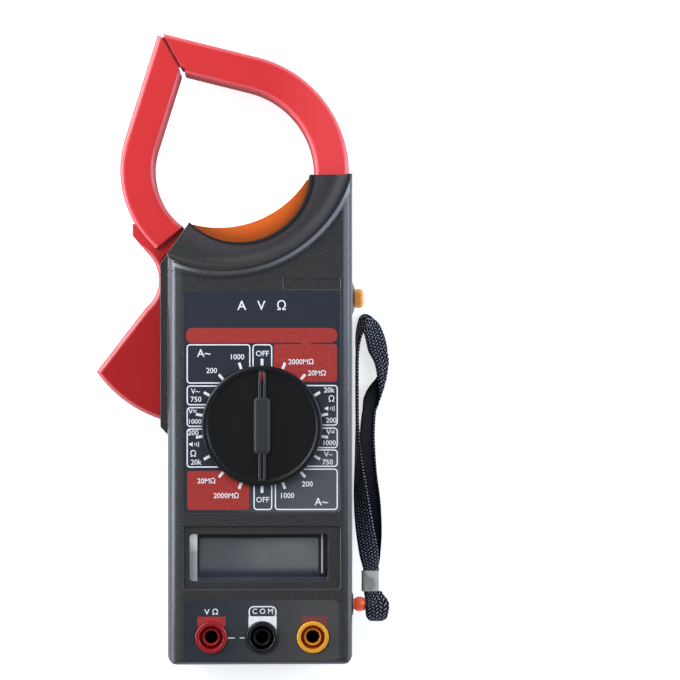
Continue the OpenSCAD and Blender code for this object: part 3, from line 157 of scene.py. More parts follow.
# %% The strap's route
STRAP_W = 7.2
STRAP_T = 1.2
FLAT = (1, 0, 0)
EDGE = (0, 0, 1)
TURNED = (-1, 0, 0)
ROUTE = [
    ((40.4, -57.8, 16.2), FLAT, 0.76), ((40.4, -61.6, 16.2), FLAT, 0.76),
    ((41.6, -64.2, 15.3), FLAT, 1.0), ((42.5, -67.0, 14.5), FLAT, 1.27),
    ((42.5, -70.6, 15.0), FLAT, 1.12), ((42.4, -72.4, 17.0), FLAT, 0.8),
    ((42.5, -70.6, 19.0), FLAT, 1.12), ((42.5, -67.0, 19.5), FLAT, 1.27),
    ((41.6, -64.2, 18.5), FLAT, 1.0), ((40.4, -61.6, 17.6), FLAT, 0.76),
    ((40.4, -57.8, 17.6), FLAT, 0.76), ((40.4, -54.0, 17.6), FLAT, 0.8),
    ((39.5, -47, 15.4), (0.97, 0, 0.2), 1), ((38.0, -37, 11.4), (0.85, 0, 0.5), 1),
    ((36.9, -26, 7.6), (0.65, 0, 0.75), 1), ((36.2, -14, 5.0), (0.3, 0, 0.95), 1),
    ((35.8, 0, 4.1), EDGE, 1), ((35.7, 14, 4.0), EDGE, 1), ((35.8, 26, 4.0), EDGE, 1),
    ((36.6, 33.8, 4.0), (0.28, -0.1, 0.95), 1), ((39.1, 38.0, 4.0), (0.35, -0.75, 0.55), 1),
    ((41.3, 35.2, 3.8), (-0.85, -0.44, 0.3), 1), ((43.0, 30, 3.4), (-0.94, -0.25, 0.2), 1.05),
    ((44.1, 23.2, 3.4), (-0.96, -0.1, 0.25), 1.02), ((43.2, 17, 3.6), (-0.97, 0, 0.25), 1),
    ((41.7, 12, 3.6), (-0.9, 0, 0.4), 1), ((39.8, 5, 3.6), (-0.55, 0, 0.83), 1),
    ((39.0, -5, 3.6), (-0.62, 0, 0.78), 1), ((39.3, -18, 3.7), (-0.82, 0, 0.57), 1),
    ((40.6, -30, 5.4), (-0.95, 0, 0.3), 1), ((41.0, -41, 9.4), (-0.99, 0, 0.1), 1),
    ((40.6, -49, 13.4), TURNED, 0.95), ((40.4, -54.0, 16.15), TURNED, 0.76),
    ((40.4, -57.0, 16.2), TURNED, 0.76),
]
LAST = len(ROUTE) - 1
print(len(ROUTE), "points on the strap's route")


def route_point(u):
    """A point on the smooth curve through the route's points."""
    i = min(int(u), LAST - 1)
    t = u - i
    p0, p1, p2, p3 = (Vector(ROUTE[min(max(k, 0), LAST)][0]) for k in (i - 1, i, i + 1, i + 2))
    return 0.5 * (2 * p1 + (p2 - p0) * t + (2 * p0 - 5 * p1 + 4 * p2 - p3) * t * t
                  + (3 * p1 - p0 - 3 * p2 + p3) * t ** 3)


def route_lie(u):
    """The way the tape's width points, and its width, part of the way along the route."""
    i = min(int(u), LAST - 1)
    t = u - i
    ease = t * t * (3 - 2 * t)
    lie = Vector(ROUTE[i][1]).lerp(Vector(ROUTE[i + 1][1]), t)
    return lie, ROUTE[i][2] * (1 - ease) + ROUTE[i + 1][2] * ease

# %% [markdown]
# On its way back to the crimp the tape folds under itself along a slanting crease, and shows its other face
# from there. The crease starts at the tape's outer edge and ends at its inner edge. A twist would pinch the
# tape to a cord, so the fold is modelled: a point past the crease is mirrored in it, one layer lower. At
# the middle of the fold the tape is half as wide and two layers thick.

# %% The fold
FOLD_FROM = 22.4
FOLD_TO = 25.6
LAYER = 1.4


def fold(u, across, height):
    """Where a point of the cross section goes at this place along the route."""
    done = min(max((u - FOLD_FROM) / (FOLD_TO - FOLD_FROM), 0.0), 1.0)
    if across >= done - 0.5:
        return (across - done) * STRAP_W, height * STRAP_T - done * LAYER
    return (done - 1.0 - across) * STRAP_W, (1.0 - done) * LAYER - height * STRAP_T

# %% [markdown]
# The tape's mesh is a grid wrapped round the cross section, which thins towards both edges. Its UV map
# holds the length along the tape and the distance across it in millimetres, so that the weave follows every
# turn. One face of the tape has pale threads and the other is plain. The plain face is marked by moving its
# UV map far to one side.

# %% Sweep the tape
ACROSS = 18
EDGE_THIN = 0.33


def swell(across):
    """Half the tape's thickness, as a share of it, at this place across."""
    return 0.5 - EDGE_THIN * abs(2 * across) ** 6


places = [k / ACROSS - 0.5 for k in range(ACROSS + 1)]
SECTION = [(a, -swell(a)) for a in places] + [(a, swell(a)) for a in reversed(places)]
STEPS_EACH = 10
NUDGE = 0.05
PLAIN = 100.0


def sweep_strap():
    bm = bmesh.new()
    uv = bm.loops.layers.uv.new("weave")
    centre_line = []
    rings = []
    along = []
    length = 0.0
    for k in range(LAST * STEPS_EACH + 1):
        u = k / STEPS_EACH
        p = route_point(u)
        run = (route_point(min(u + NUDGE, LAST)) - route_point(max(u - NUDGE, 0))).normalized()
        lie, share = route_lie(u)
        side = (lie - run * lie.dot(run)).normalized()
        face = run.cross(side)
        if centre_line:
            length += (p - centre_line[-1]).length
        centre_line.append(p)
        along.append(length)
        ring = []
        for a, b in SECTION:
            lateral, height = fold(u, a, b)
            ring.append(bm.verts.new((p + side * (lateral * share) + face * height) * MM))
        rings.append(ring)
    count = len(SECTION)
    for k in range(len(rings) - 1):
        for i in range(count):
            j = (i + 1) % count
            made = bm.faces.new((rings[k][i], rings[k][j], rings[k + 1][j], rings[k + 1][i]))
            corners = ((k, i), (k, j), (k + 1, j), (k + 1, i))
            on_top = SECTION[i][1] + SECTION[j][1] < 0.1
            shift = 0.0 if on_top else PLAIN
            for loop, (step, edge) in zip(made.loops, corners):
                loop[uv].uv = (along[step], SECTION[edge][0] * STRAP_W + shift)
            made.smooth = True
    bm.faces.new(list(reversed(rings[0])))
    bm.faces.new(rings[-1])
    bmesh.ops.recalc_face_normals(bm, faces=bm.faces)
    return finish_mesh(bm, "woven_strap"), centre_line, length


strap_mesh, strap_line, strap_length = sweep_strap()
strap = add_object("woven_strap", strap_mesh)
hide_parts("wrist_strap")
strap_line[0] * MM
strap_length * MM
[p * MM for p in strap_line]
print("the strap is", round(strap_length, 1), "mm long")

# %% [markdown]
# ## Light
# The picture is a product shot on white. A soft square light above shapes the jaws. Two cool lights at the
# sides draw a pale line down each long edge of the case: they stand nearer the jaws than the jacks, so the
# lines fade downwards. One large light would be simpler, but it would grey the black faces and leave the
# edges dull.

# %% Lights
def area_light(name, at, aim, size, power, color):
    data = bpy.data.lights.new(name, "AREA")
    data.shape = "RECTANGLE"
    data.size, data.size_y = size
    data.energy = power
    data.color = color
    obj = bpy.data.objects.new(name, data)
    scene.collection.objects.link(obj)
    obj.location = Vector(at) * MM
    obj.rotation_euler = (Vector(aim) - Vector(at)).to_track_quat("-Z", "Y").to_euler()
    obj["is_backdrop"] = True
    return obj


area_light("light_above", (-420, 420, 560), (0, 30, 0), (0.5, 0.5), 4.4, (1.0, 0.98, 0.95))
area_light("light_right", (560, 120, 330), (20, 90, 10), (0.25, 0.8), 3.0, (0.6, 0.75, 1.0))
area_light("light_left", (-520, 190, 140), (-30, 190, 15), (0.6, 0.13), 3.2, (0.66, 0.79, 1.0))
scene.view_settings.view_transform = "Standard"
print("three lights")

# %% [markdown]
# ## Shader arithmetic
# A finish is a graph of nodes. `Wire` stands for one socket of such a graph: adding or multiplying wires
# adds Math nodes, so that a pattern can be written as a formula, and `make` adds any other kind of node.

# %% The Wire class
class Wire:
    """One output of a node tree, with arithmetic."""

    def __init__(self, tree, socket):
        self.tree = tree
        self.socket = socket

    def make(self, kind, settings=None, sockets=None, out=0):
        node = self.tree.nodes.new(kind)
        for name, value in (settings or {}).items():
            setattr(node, name, value)
        for name, value in (sockets or {}).items():
            if isinstance(value, Wire):
                self.tree.links.new(value.socket, node.inputs[name])
            else:
                node.inputs[name].default_value = value
        return Wire(self.tree, node.outputs[out])

    def math(self, operation, first, second=0.0):
        return self.make("ShaderNodeMath", {"operation": operation}, {0: first, 1: second})

    def __add__(self, other):
        return self.math("ADD", self, other)

    def __radd__(self, other):
        return self.math("ADD", other, self)

    def __sub__(self, other):
        return self.math("SUBTRACT", self, other)

    def __rsub__(self, other):
        return self.math("SUBTRACT", other, self)

    def __mul__(self, other):
        return self.math("MULTIPLY", self, other)

    def __rmul__(self, other):
        return self.math("MULTIPLY", other, self)

    def __truediv__(self, other):
        return self.math("DIVIDE", self, other)

    def __rtruediv__(self, other):
        return self.math("DIVIDE", other, self)

    def __pow__(self, other):
        return self.math("POWER", self, other)

    def sine(self):
        return self.math("SINE", self)

    def bigger(self, limit):
        return self.math("GREATER_THAN", self, limit)

    def ramp(self, low, high):
        """0 below low, 1 above high, smooth between."""
        return self.make("ShaderNodeMapRange", {"interpolation_type": "SMOOTHSTEP"},
                         {"Value": self, "From Min": low, "From Max": high})

    def part(self, index):
        return self.make("ShaderNodeSeparateXYZ", None, {0: self}, index)

    def noise(self, scale, detail=2.0):
        return self.make("ShaderNodeTexNoise", None, {"Vector": self, "Scale": scale, "Detail": detail})

    def blend(self, first, second):
        """This wire's mix of two colours. Each is a wire or three numbers."""
        first, second = (color if isinstance(color, Wire) else (*color, 1.0) for color in (first, second))
        return self.make("ShaderNodeMix", {"data_type": "RGBA"}, {0: self, 6: first, 7: second}, 2)

    def bump(self, depth, over=None):
        """A normal from this height, over another normal where one is given."""
        sockets = {"Height": self, "Distance": depth}
        if over is not None:
            sockets["Normal"] = over
        return self.make("ShaderNodeBump", None, sockets)

# %% [markdown]
# ## The surround
# A studio has white walls and a dark ceiling round the camera. Here the world plays both: it is bright near
# the horizon at the two sides, dimmer at the two ends and darkest overhead, so the flat black faces stay
# dark while every rounded edge catches the light. A picture of a studio could do this too, but a formula
# needs no file.

# %% The surround
OVERHEAD = 0.2
HORIZON = 7.4
ENDS = 0.16
GLOW_FULL = 0.02
GLOW_GONE = 0.22
COOL_WHITE = (0.89, 0.94, 1.0, 1.0)

world = bpy.data.worlds.new("surround")
scene.world = world
world.use_nodes = True
sky = world.node_tree
backdrop = sky.nodes["Background"]
direction = Wire(sky, sky.nodes.new("ShaderNodeTexCoord").outputs["Generated"])
to_side = direction.part(0) * direction.part(0)
near_horizon = 1.0 - direction.part(2).ramp(GLOW_FULL, GLOW_GONE)
glow = OVERHEAD + (HORIZON - OVERHEAD) * near_horizon * (ENDS + (1.0 - ENDS) * to_side)
sky.links.new(glow.socket, backdrop.inputs["Strength"])
backdrop.inputs["Color"].default_value = COOL_WHITE
print("a surround with a strength of", HORIZON, "at the sides and", OVERHEAD, "overhead")

# %% [markdown]
# ## Finishes
# A finish is what a piece is made of and how it has worn; some finishes also have light and shade painted
# into their colour. Each starts as a plain Principled surface with a base colour and a roughness. The
# object's own coordinates drive the fine patterns, so a finish lies the same way on every piece that wears it
# and stays in place when a joint moves. `Finish` holds what all of them share.

# %% The Finish class
class Finish:
    """A Principled material, with the object's coordinates at hand as a wire."""

    def __init__(self, name, color, roughness=0.5, **constants):
        self.material = bpy.data.materials.new(name)
        self.material.use_nodes = True
        tree = self.material.node_tree
        self.tree = tree
        self.shader = tree.nodes["Principled BSDF"]
        self.color = color
        self.roughness = roughness
        self.shader.inputs["Base Color"].default_value = (*color, 1.0)
        self.shader.inputs["Roughness"].default_value = roughness
        for key, value in constants.items():
            self.shader.inputs[key.replace("_", " ")].default_value = value
        coordinates = tree.nodes.new("ShaderNodeTexCoord")
        self.place = Wire(tree, coordinates.outputs["Object"])
        self.uv = Wire(tree, coordinates.outputs["UV"])

    def mm(self, axis):
        """The object's coordinate along an axis, in millimetres."""
        return self.place.part(axis) / MM

    def drive(self, name, wire):
        self.tree.links.new(wire.socket, self.shader.inputs[name])
        return self

    def vary(self, share=0.15, scale=600.0):
        """Makes the colour and the roughness a little uneven."""
        cloud = self.place.noise(scale, 3.0)
        darker = [v * (1.0 - share) for v in self.color]
        paler = [min(v * (1.0 + share), 1.0) for v in self.color]
        self.drive("Base Color", cloud.ramp(0.3, 0.7).blend(darker, paler))
        return self.drive("Roughness", self.roughness + share * (cloud - 0.5))

    def soft_edge(self, radius):
        """A normal that rounds sharp edges over this many millimetres."""
        return self.place.make("ShaderNodeBevel", {"samples": 6}, {"Radius": radius * MM})

    def soften(self, radius):
        return self.drive("Normal", self.soft_edge(radius))

    def edges(self, radius):
        """1 along sharp edges, 0 on smooth faces."""
        flat = self.place.make("ShaderNodeNewGeometry", out="Normal")
        agree = self.place.make("ShaderNodeVectorMath", {"operation": "DOT_PRODUCT"},
                                {0: self.soft_edge(radius), 1: flat}, "Value")
        return 1.0 - agree.ramp(0.8, 0.99)


def wear(finish, *names):
    """Gives a finish to CAD pieces."""
    for name in names:
        mesh = nodes[name].data
        mesh.materials.clear()
        mesh.materials.append(finish.material)

# %% [markdown]
# ## Moulded plastics
# The case, the guard in its mouth, the dial and the jaws are moulded plastic. A mould leaves a fine grain
# on every face and no truly sharp edge. The grain is finer than any mesh here could carry, so it is a bump
# made of noise, and the Bevel node rounds the edges in the same normal.

# %% Moulded plastic
def moulded(name, color, roughness, grain, depth, edge=0.4, cloudy=0.08, **constants):
    """Plastic with the fine grain of its mould and edges that aren't quite sharp."""
    finish = Finish(name, color, roughness, **constants)
    grit = finish.place.noise(grain, 3.0)
    finish.drive("Normal", grit.bump(depth, finish.soft_edge(edge)))
    if cloudy:
        cloud = finish.place.noise(60.0)
        finish.drive("Roughness", roughness + cloudy * (cloud - 0.5))
    return finish


def from_circle(finish, centre, radius):
    """How far a place lies outside a circle round Z, in millimetres."""
    x = finish.mm(0) - centre.x
    y = finish.mm(1) - centre.y
    return (x * x + y * y) ** 0.5 - radius

# %% [markdown]
# The case is black and slightly mottled. Near the mouth a warm tint is painted on, a painted reflection of
# the red jaws, and the mouth's own edge has a painted shade. The ridge round the head has a painted highlight
# along its crest, brightest at its two ends, a painted shade on its flank, and at the right a painted shade
# in the cove beside it. The sharp edges are pale, partly from handling and partly as a painted highlight. The
# light alone could draw these lines, but they would come and go with the lamps, so they are painted by
# distance from the ridge's and the mouth's centres.

# %% Case plastic
CASE_DARK = (0.032, 0.0305, 0.0295)
CASE_PALE = (0.051, 0.0495, 0.048)
CASE_JAW_REFLECTION = (0.072, 0.06, 0.064)
CASE_WEAR_AND_HIGHLIGHT = (0.22, 0.225, 0.24)
FLANK_SHADE = (0.004, 0.004, 0.005)
COVE_SHADE = (0.012, 0.012, 0.013)
MOUTH_SHADE = (0.003, 0.0015, 0.001)
RIDGE_AT = Vector((-14.45, 105.2))
RIDGE_R = 49.8
MOUTH_AT = Vector((-7.75, 93.0))
MOUTH_R = 26.0

case_plastic = moulded("case_plastic", CASE_DARK, 0.23, 1400.0, 0.00004, cloudy=0, Specular_IOR_Level=0.45)
mottle = case_plastic.place.noise(1500.0, 4.0).ramp(0.3, 0.7)
off_crest = from_circle(case_plastic, RIDGE_AT, RIDGE_R)
from_x = case_plastic.mm(0) - RIDGE_AT.x
over_top = case_plastic.mm(2).ramp(33.6, 34.0)
before_crest = 1.0 - off_crest.ramp(-1.0, -0.4)
# The ridge's crest has a painted highlight, brightest at its two ends.
ends = from_x.ramp(5.0, 40.0) + 0.9 * (1.0 - from_x.ramp(-18.0, -6.0))
crest_highlight = (1.0 - (off_crest * off_crest).ramp(0.1, 0.6)) * over_top * (0.15 + 0.85 * ends)
# A painted shade on the ridge's flank.
shaded_flank = off_crest.ramp(-3.2, -2.4) * before_crest * over_top
# A painted shade in the cove beside the ridge at the right.
shaded_cove = off_crest.ramp(-9.0, -6.0) * before_crest * from_x.ramp(-14.0, 26.0)
# The sharp edges are pale, partly from wear and partly as a painted highlight, and the crest's painted
# highlight joins them.
wear_and_highlight = 0.45 * case_plastic.edges(0.35) + crest_highlight
past_mouth = from_circle(case_plastic, MOUTH_AT, MOUTH_R)
# A painted reflection of the red jaws, warm, near the mouth.
jaw_reflection = 1.0 - past_mouth.ramp(2.0, 9.0)
# A painted shade along the mouth's own edge.
shaded_mouth_rim = 1.0 - past_mouth.ramp(1.0, 1.7)

case_color = mottle.blend(CASE_DARK, CASE_PALE)
case_color = shaded_flank.blend(case_color, FLANK_SHADE)
case_color = (0.7 * jaw_reflection).blend(case_color, CASE_JAW_REFLECTION)
case_color = (0.8 * shaded_cove).blend(case_color, COVE_SHADE)
case_color = wear_and_highlight.blend(case_color, CASE_WEAR_AND_HIGHLIGHT)
case_plastic.drive("Base Color", shaded_mouth_rim.blend(case_color, MOUTH_SHADE))
case_plastic.drive("Roughness", case_plastic.roughness + 0.5 * shaded_flank + 0.45 * shaded_cove + 0.6 * shaded_mouth_rim)
wear(case_plastic, "front_shell", "rear_shell", "battery_door")
print("case plastic with", len(case_plastic.tree.nodes), "nodes")

# %% [markdown]
# The guard is orange, with a painted shade that darkens it towards the mouth's edge. The dial is a deep
# black. The top of its bar is a lighter grey, and its edges are pale, partly from wear and partly as a
# painted highlight; the height and the Bevel node find them.

# %% Guard and dial
GUARD_LIT = (0.82, 0.14, 0.012)
GUARD_SHADE = (0.42, 0.07, 0.006)
DIAL_BLACK = (0.005, 0.005, 0.0047)
DIAL_BAR_GREY = (0.034, 0.034, 0.032)
DIAL_EDGE_WEAR_AND_HIGHLIGHT = (0.13, 0.13, 0.13)

guard_plastic = moulded("guard_plastic", GUARD_LIT, 0.42, 1200.0, 0.00002, Specular_IOR_Level=0.3)
# A painted shade darkens the guard towards the mouth's edge.
in_mouth_shade = from_circle(guard_plastic, MOUTH_AT, MOUTH_R).ramp(-6.5, -0.3)
guard_plastic.drive("Base Color", in_mouth_shade.blend(GUARD_LIT, GUARD_SHADE))
wear(guard_plastic, "jaw_guard")

dial_plastic = moulded("dial_plastic", DIAL_BLACK, 0.34, 1800.0, 0.00002, Specular_IOR_Level=0.4)
bar_top = dial_plastic.mm(2).ramp(35.9, 36.4)
dial_color = bar_top.blend(DIAL_BLACK, DIAL_BAR_GREY)
# The edges are pale, partly from wear and partly as a painted highlight.
dial_plastic.drive("Base Color", (0.5 * dial_plastic.edges(0.3)).blend(dial_color, DIAL_EDGE_WEAR_AND_HIGHLIGHT))
wear(dial_plastic, "dial_knob")
print("guard and dial")

# %% [markdown]
# The jaws are a clear red. It is deeper at the trigger, a painted shade, and paler towards the right, a
# painted highlight where they face the light. The rounded edges of the arms are paler, a painted highlight,
# and the walls that face sideways hold a deeper red, a painted shade. How far a face turns from the top is
# its normal's third part, which stays the same while the jaw swings.

# %% Red of the jaws
ARM_RED = (0.7, 0.034, 0.035)
RIGHT_LIT_RED = (0.84, 0.06, 0.064)
TRIGGER_SHADE_RED = (0.43, 0.014, 0.014)
EDGE_HIGHLIGHT_RED = (0.8, 0.2, 0.22)
WALL_SHADE_RED = (0.34, 0.01, 0.014)

jaw_plastic = moulded("jaw_plastic", ARM_RED, 0.25, 900.0, 0.000004, edge=0.8, cloudy=0,
                      Specular_IOR_Level=0.45, Subsurface_Weight=0.05,
                      Subsurface_Radius=(0.002, 0.0006, 0.0004), Subsurface_Scale=0.5)
facing_up = jaw_plastic.place.make("ShaderNodeNewGeometry", out="Normal").part(2)
# Walls that face sideways get a painted shade, and the rounded edges a painted highlight.
not_wall = facing_up.ramp(0.05, 0.5)
edge_highlight = facing_up.ramp(0.5, 0.75) * (1.0 - facing_up.ramp(0.88, 0.99))
on_arm = jaw_plastic.mm(1).ramp(60.0, 68.0)
# Paler towards the right, a painted highlight, and deeper at the trigger, a painted shade.
to_right = jaw_plastic.mm(0).ramp(0.0, 25.0)
jaw_red = to_right.blend(ARM_RED, RIGHT_LIT_RED)
jaw_red = on_arm.blend(TRIGGER_SHADE_RED, jaw_red)
jaw_red = (edge_highlight * 0.5).blend(jaw_red, EDGE_HIGHLIGHT_RED)
jaw_plastic.drive("Roughness", 0.85 - 0.6 * not_wall)
jaw_plastic.drive("Base Color", not_wall.blend(WALL_SHADE_RED, jaw_red))
wear(jaw_plastic, "fixed_jaw_front", "fixed_jaw_rear", "moving_jaw_front", "moving_jaw_rear")
print("red of the jaws")

# %% [markdown]
# Where the jaws meet, a thin lip on the moving jaw covers the gap between them, a little below the top. It
# starts as a cube that is stretched to a strip, and its long edges are rounded. It is built straight, along
# X, and then turned to lie along the parting line.

# %% Lip between the jaws
PARTING_AT = Vector((-36.8, 143.1, 0.0))
PARTING_ANGLE = -60.4
LIP_L = 12.6
LIP_W = 0.8
LIP_T = 2.0
LIP_ROUND = 0.2
LIP_FROM = 0.9
LIP_ASIDE = -0.12
LIP_BELOW = 1.2

jaw_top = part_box("moving_jaw_front")[1].z / MM
lip_middle = (LIP_FROM + LIP_L / 2, LIP_ASIDE, jaw_top - LIP_BELOW - LIP_T / 2)
bm = bmesh.new()
bmesh.ops.create_cube(bm, size=1.0)
bmesh.ops.scale(bm, verts=bm.verts, vec=(LIP_L, LIP_W, LIP_T))
bmesh.ops.bevel(bm, geom=bm.edges[:], offset=LIP_ROUND, affect="EDGES", segments=2, profile=0.5, material=-1)
bmesh.ops.translate(bm, verts=bm.verts, vec=lip_middle)
bmesh.ops.rotate(bm, verts=bm.verts, matrix=Matrix.Rotation(math.radians(PARTING_ANGLE), 3, "Z"))
bmesh.ops.translate(bm, verts=bm.verts, vec=PARTING_AT)
bmesh.ops.scale(bm, verts=bm.verts, vec=(MM, MM, MM))
lip_red = Finish("lip_red", (0.6, 0.02, 0.028), 0.5).vary(0.2)
jaw_lip = add_object("jaw_lip", finish_mesh(bm, "jaw_lip"), lip_red.material, body="jaw")
print("a lip", LIP_L, "mm long between the jaws")

# %% [markdown]
# ## Small fittings
# The jacks, the hold button and the peg are small and smooth, without grain. Down in a jack the plastic is
# painted brighter than its rim, a painted light against the shade of the hole, and the rim's edges have a
# painted highlight. Light comes through the plastic from the sides, as it does through the button and the
# peg. Full translucency is slow and noisy in such small pieces, so a faint painted glow stands for it. The
# pointer's paint is darker at its foot.

# %% Jacks
JACK_GLOW = 0.018
JACK_DEEP = 30.0
JACK_TOP = 33.5
UNLIT = (0, 0, 0)


def jack_plastic(name, rim, inside, edge, roughness):
    """Plastic that is painted brighter down in the jack and has a painted highlight along the edges of its
    rim.
    """
    finish = Finish(name, rim, roughness, Emission_Strength=JACK_GLOW)
    near_rim = finish.mm(2).ramp(JACK_DEEP, JACK_TOP)
    rim_highlight = 0.6 * finish.edges(0.3) * near_rim
    finish.drive("Base Color", rim_highlight.blend(near_rim.blend(inside, rim), edge))
    # Down in the jack the plastic also has a faint painted glow.
    finish.drive("Emission Color", near_rim.blend(inside, UNLIT))
    return finish.soften(0.4)


# Here inside is painted light down in the jack, and edge a painted highlight on the rim.
red_plastic = jack_plastic("red_plastic", rim=(0.34, 0.008, 0.013), inside=(0.85, 0.03, 0.045),
                           edge=(0.8, 0.25, 0.28), roughness=0.25)
yellow_plastic = jack_plastic("yellow_plastic", rim=(0.84, 0.36, 0.02), inside=(0.95, 0.34, 0.02),
                              edge=(1.0, 0.75, 0.3), roughness=0.28)
wear(red_plastic, "red_jack")
wear(yellow_plastic, "yellow_jack")
print("red and yellow jacks")

# %% Small plastics
MARKER_FOOT = (0.16, 0.004, 0.006)
MARKER_END = (0.55, 0.03, 0.03)
BLACK = (0.008, 0.008, 0.008)
BLACK_EDGE_HIGHLIGHT = (0.13, 0.135, 0.15)

marker_paint = Finish("marker_paint", MARKER_END, 0.2).soften(0.4)
marker_paint.drive("Base Color", marker_paint.mm(1).ramp(17.6, 21.2).blend(MARKER_FOOT, MARKER_END))
black_plastic = Finish("black_plastic", BLACK, 0.25).soften(0.4)
# The edges have a pale painted highlight.
black_plastic.drive("Base Color", (0.6 * black_plastic.edges(0.3)).blend(BLACK, BLACK_EDGE_HIGHLIGHT))
# The button and the peg have a faint painted glow.
button_plastic = Finish("button_plastic", (0.95, 0.36, 0.07), 0.22, Emission_Color=(1.0, 0.36, 0.1, 1.0),
                        Emission_Strength=0.12).vary(0.06).soften(0.4)
peg_plastic = Finish("peg_plastic", (0.95, 0.15, 0.05), 0.2, Emission_Color=(1.0, 0.14, 0.05, 1.0),
                     Emission_Strength=0.28).vary(0.06).soften(0.4)
wear(marker_paint, "dial_marker")
wear(black_plastic, "black_jack", "hold_collar", "peg_collar", "hold_plunger", "piezo_buzzer")
wear(button_plastic, "hold_button")
wear(peg_plastic, "strap_peg")
print("small plastics")

# %% [markdown]
# Screws, springs and pins are plain steel. The contacts in the jacks are bright at their ends and dark deep
# down, a painted shade in the hole. The strap's crimp is a bent strip of soft metal with dents from its
# pliers:
# modelling each dent would be lost at this size, so a coarse noise bumps the normal, and the dents that stand
# out have a pale painted highlight.

# %% Metals
CONTACT_BRIGHT = (0.3, 0.28, 0.24)
CONTACT_SHADE = (0.012, 0.011, 0.01)
CRIMP_DULL = (0.6, 0.57, 0.5)
CRIMP_HIGHLIGHT = (1.0, 0.97, 0.91)

steel = Finish("steel", (0.56, 0.56, 0.58), 0.3, Metallic=1.0).vary()
contact_metal = Finish("contact_metal", CONTACT_BRIGHT, 0.25, Metallic=1.0)
# The contacts are darker deep down, a painted shade in the hole.
contact_metal.drive("Base Color", contact_metal.mm(2).ramp(30.5, 32.5).blend(CONTACT_SHADE, CONTACT_BRIGHT))
crimp_metal = Finish("crimp_metal", CRIMP_HIGHLIGHT, 0.28, Metallic=0.45)
dents = crimp_metal.place.noise(200.0, 1.0)
crimp_metal.drive("Normal", dents.bump(0.0006, crimp_metal.soft_edge(0.7)))
# The dents that stand out have a pale painted highlight.
crimp_metal.drive("Base Color", dents.ramp(0.4, 0.6).blend(CRIMP_DULL, CRIMP_HIGHLIGHT))
wear(steel, "case_screws", "battery_door_screws", "jaw_pivot_pin", "jaw_spring", "pcb_screws", "detent_balls",
     "detent_springs", "dial_clip", "hold_switch")
wear(contact_metal, "jack_contacts", "wiper_contacts")
wear(crimp_metal, "strap_crimp")
print("metals")

# %% [markdown]
# ## Inner pieces
# The inner pieces are seen only when the jaw opens or the battery door is off, so each has a plain finish
# that is a little uneven. The cores are stacks of sheet steel: a sine along their thickness draws the edges
# of the sheets.

# %% Inner pieces
SHEET = 0.5

lamination = Finish("lamination", (0.22, 0.21, 0.2), 0.4, Metallic=1.0).vary(0.25, 900.0)
sheets = (lamination.place.part(2) * (2 * math.pi / (SHEET * MM))).sine()
lamination.drive("Normal", sheets.bump(0.00003))
winding = Finish("winding", (0.55, 0.2, 0.07), 0.35, Metallic=1.0).vary()
bobbin_plastic = Finish("bobbin_plastic", (0.7, 0.66, 0.56), 0.5).vary(0.08)
board = Finish("board", (0.015, 0.1, 0.04), 0.35).vary(0.25)
zebra_rubber = Finish("zebra_rubber", (0.03, 0.028, 0.028), 0.6).vary()
lead_cover = Finish("lead_cover", (0.45, 0.02, 0.02), 0.45).vary()
battery_wrap = Finish("battery_wrap", (0.03, 0.03, 0.035), 0.4).vary(0.2)
wear(lamination, "fixed_core", "moving_core")
wear(winding, "coil_winding", "coil_leads")
wear(bobbin_plastic, "coil_bobbin", "contact_rotor")
wear(board, "main_pcb")
wear(zebra_rubber, "zebra_strip", "battery_snap")
wear(lead_cover, "battery_leads")
wear(battery_wrap, "battery")
print("inner pieces")

# %% [markdown]
# ## The webbing
# The tape is braided: columns of short slanted threads, each column leaning the other way from the next.
# The UV map gives millimetres along and across, so a column is the whole part of the distance across, and
# the threads in it are a sine of a slanted distance. On the face that shows pale threads, every second
# thread is pale.

# %% Webbing finish
COLUMN = 1.2
THREAD = 1.25
RIB = 0.7
TAPE_BLACK = (0.006, 0.006, 0.008)
PALE_THREAD = (0.5, 0.53, 0.62)

webbing = Finish("webbing", TAPE_BLACK, 0.8, Specular_IOR_Level=0.15)
run_along = webbing.uv.part(0)
across = webbing.uv.part(1)
plain = across.bigger(0.5 * PLAIN)
column = across / COLUMN + 0.5
column_number = column.math("FLOOR", column)
in_column = column - column_number
parity = column_number.math("PINGPONG", column_number, 1.0)
lean = (parity * 2.0 - 1.0) * (in_column - 0.5) * 0.9
threads = ((run_along / THREAD + lean + parity * 0.5) * (2 * math.pi)).sine()
middle = in_column.ramp(0.05, 0.3) * (1.0 - in_column.ramp(0.7, 0.95))
ribs = (run_along * (2 * math.pi / RIB)).sine()
weave = (threads * middle) * (1.0 - plain) + ribs * plain * 0.5
fleck = threads.ramp(0.35, 0.8) * middle * (1.0 - plain)
uneven = webbing.uv.noise(0.9, 2.0).ramp(0.3, 0.6)
webbing.drive("Base Color", (fleck * (0.45 + 0.55 * uneven)).blend(TAPE_BLACK, PALE_THREAD))
webbing.drive("Normal", weave.bump(0.00025))
strap.data.materials.append(webbing.material)
print("webbing with", round(STRAP_W / COLUMN), "columns of threads")

# %% [markdown]
# ## The display
# The display is off. Its glass is a dull grey green, lighter towards the right, a painted reflection, and
# darker along the bottom. A clear lens lies over it, and the black frame between them has a slope all round
# that
# mirrors the light: white at the left, a thin line at the right and a dim blue strip along the bottom. The
# slope is so slight that this reflection is painted on by place, and the white at the left also has a faint
# painted glow.

# %% Lens and glass
GLASS_LEFT = (0.135, 0.143, 0.15)
GLASS_RIGHT = (0.27, 0.277, 0.255)
GLASS_FOOT = (0.04, 0.044, 0.064)

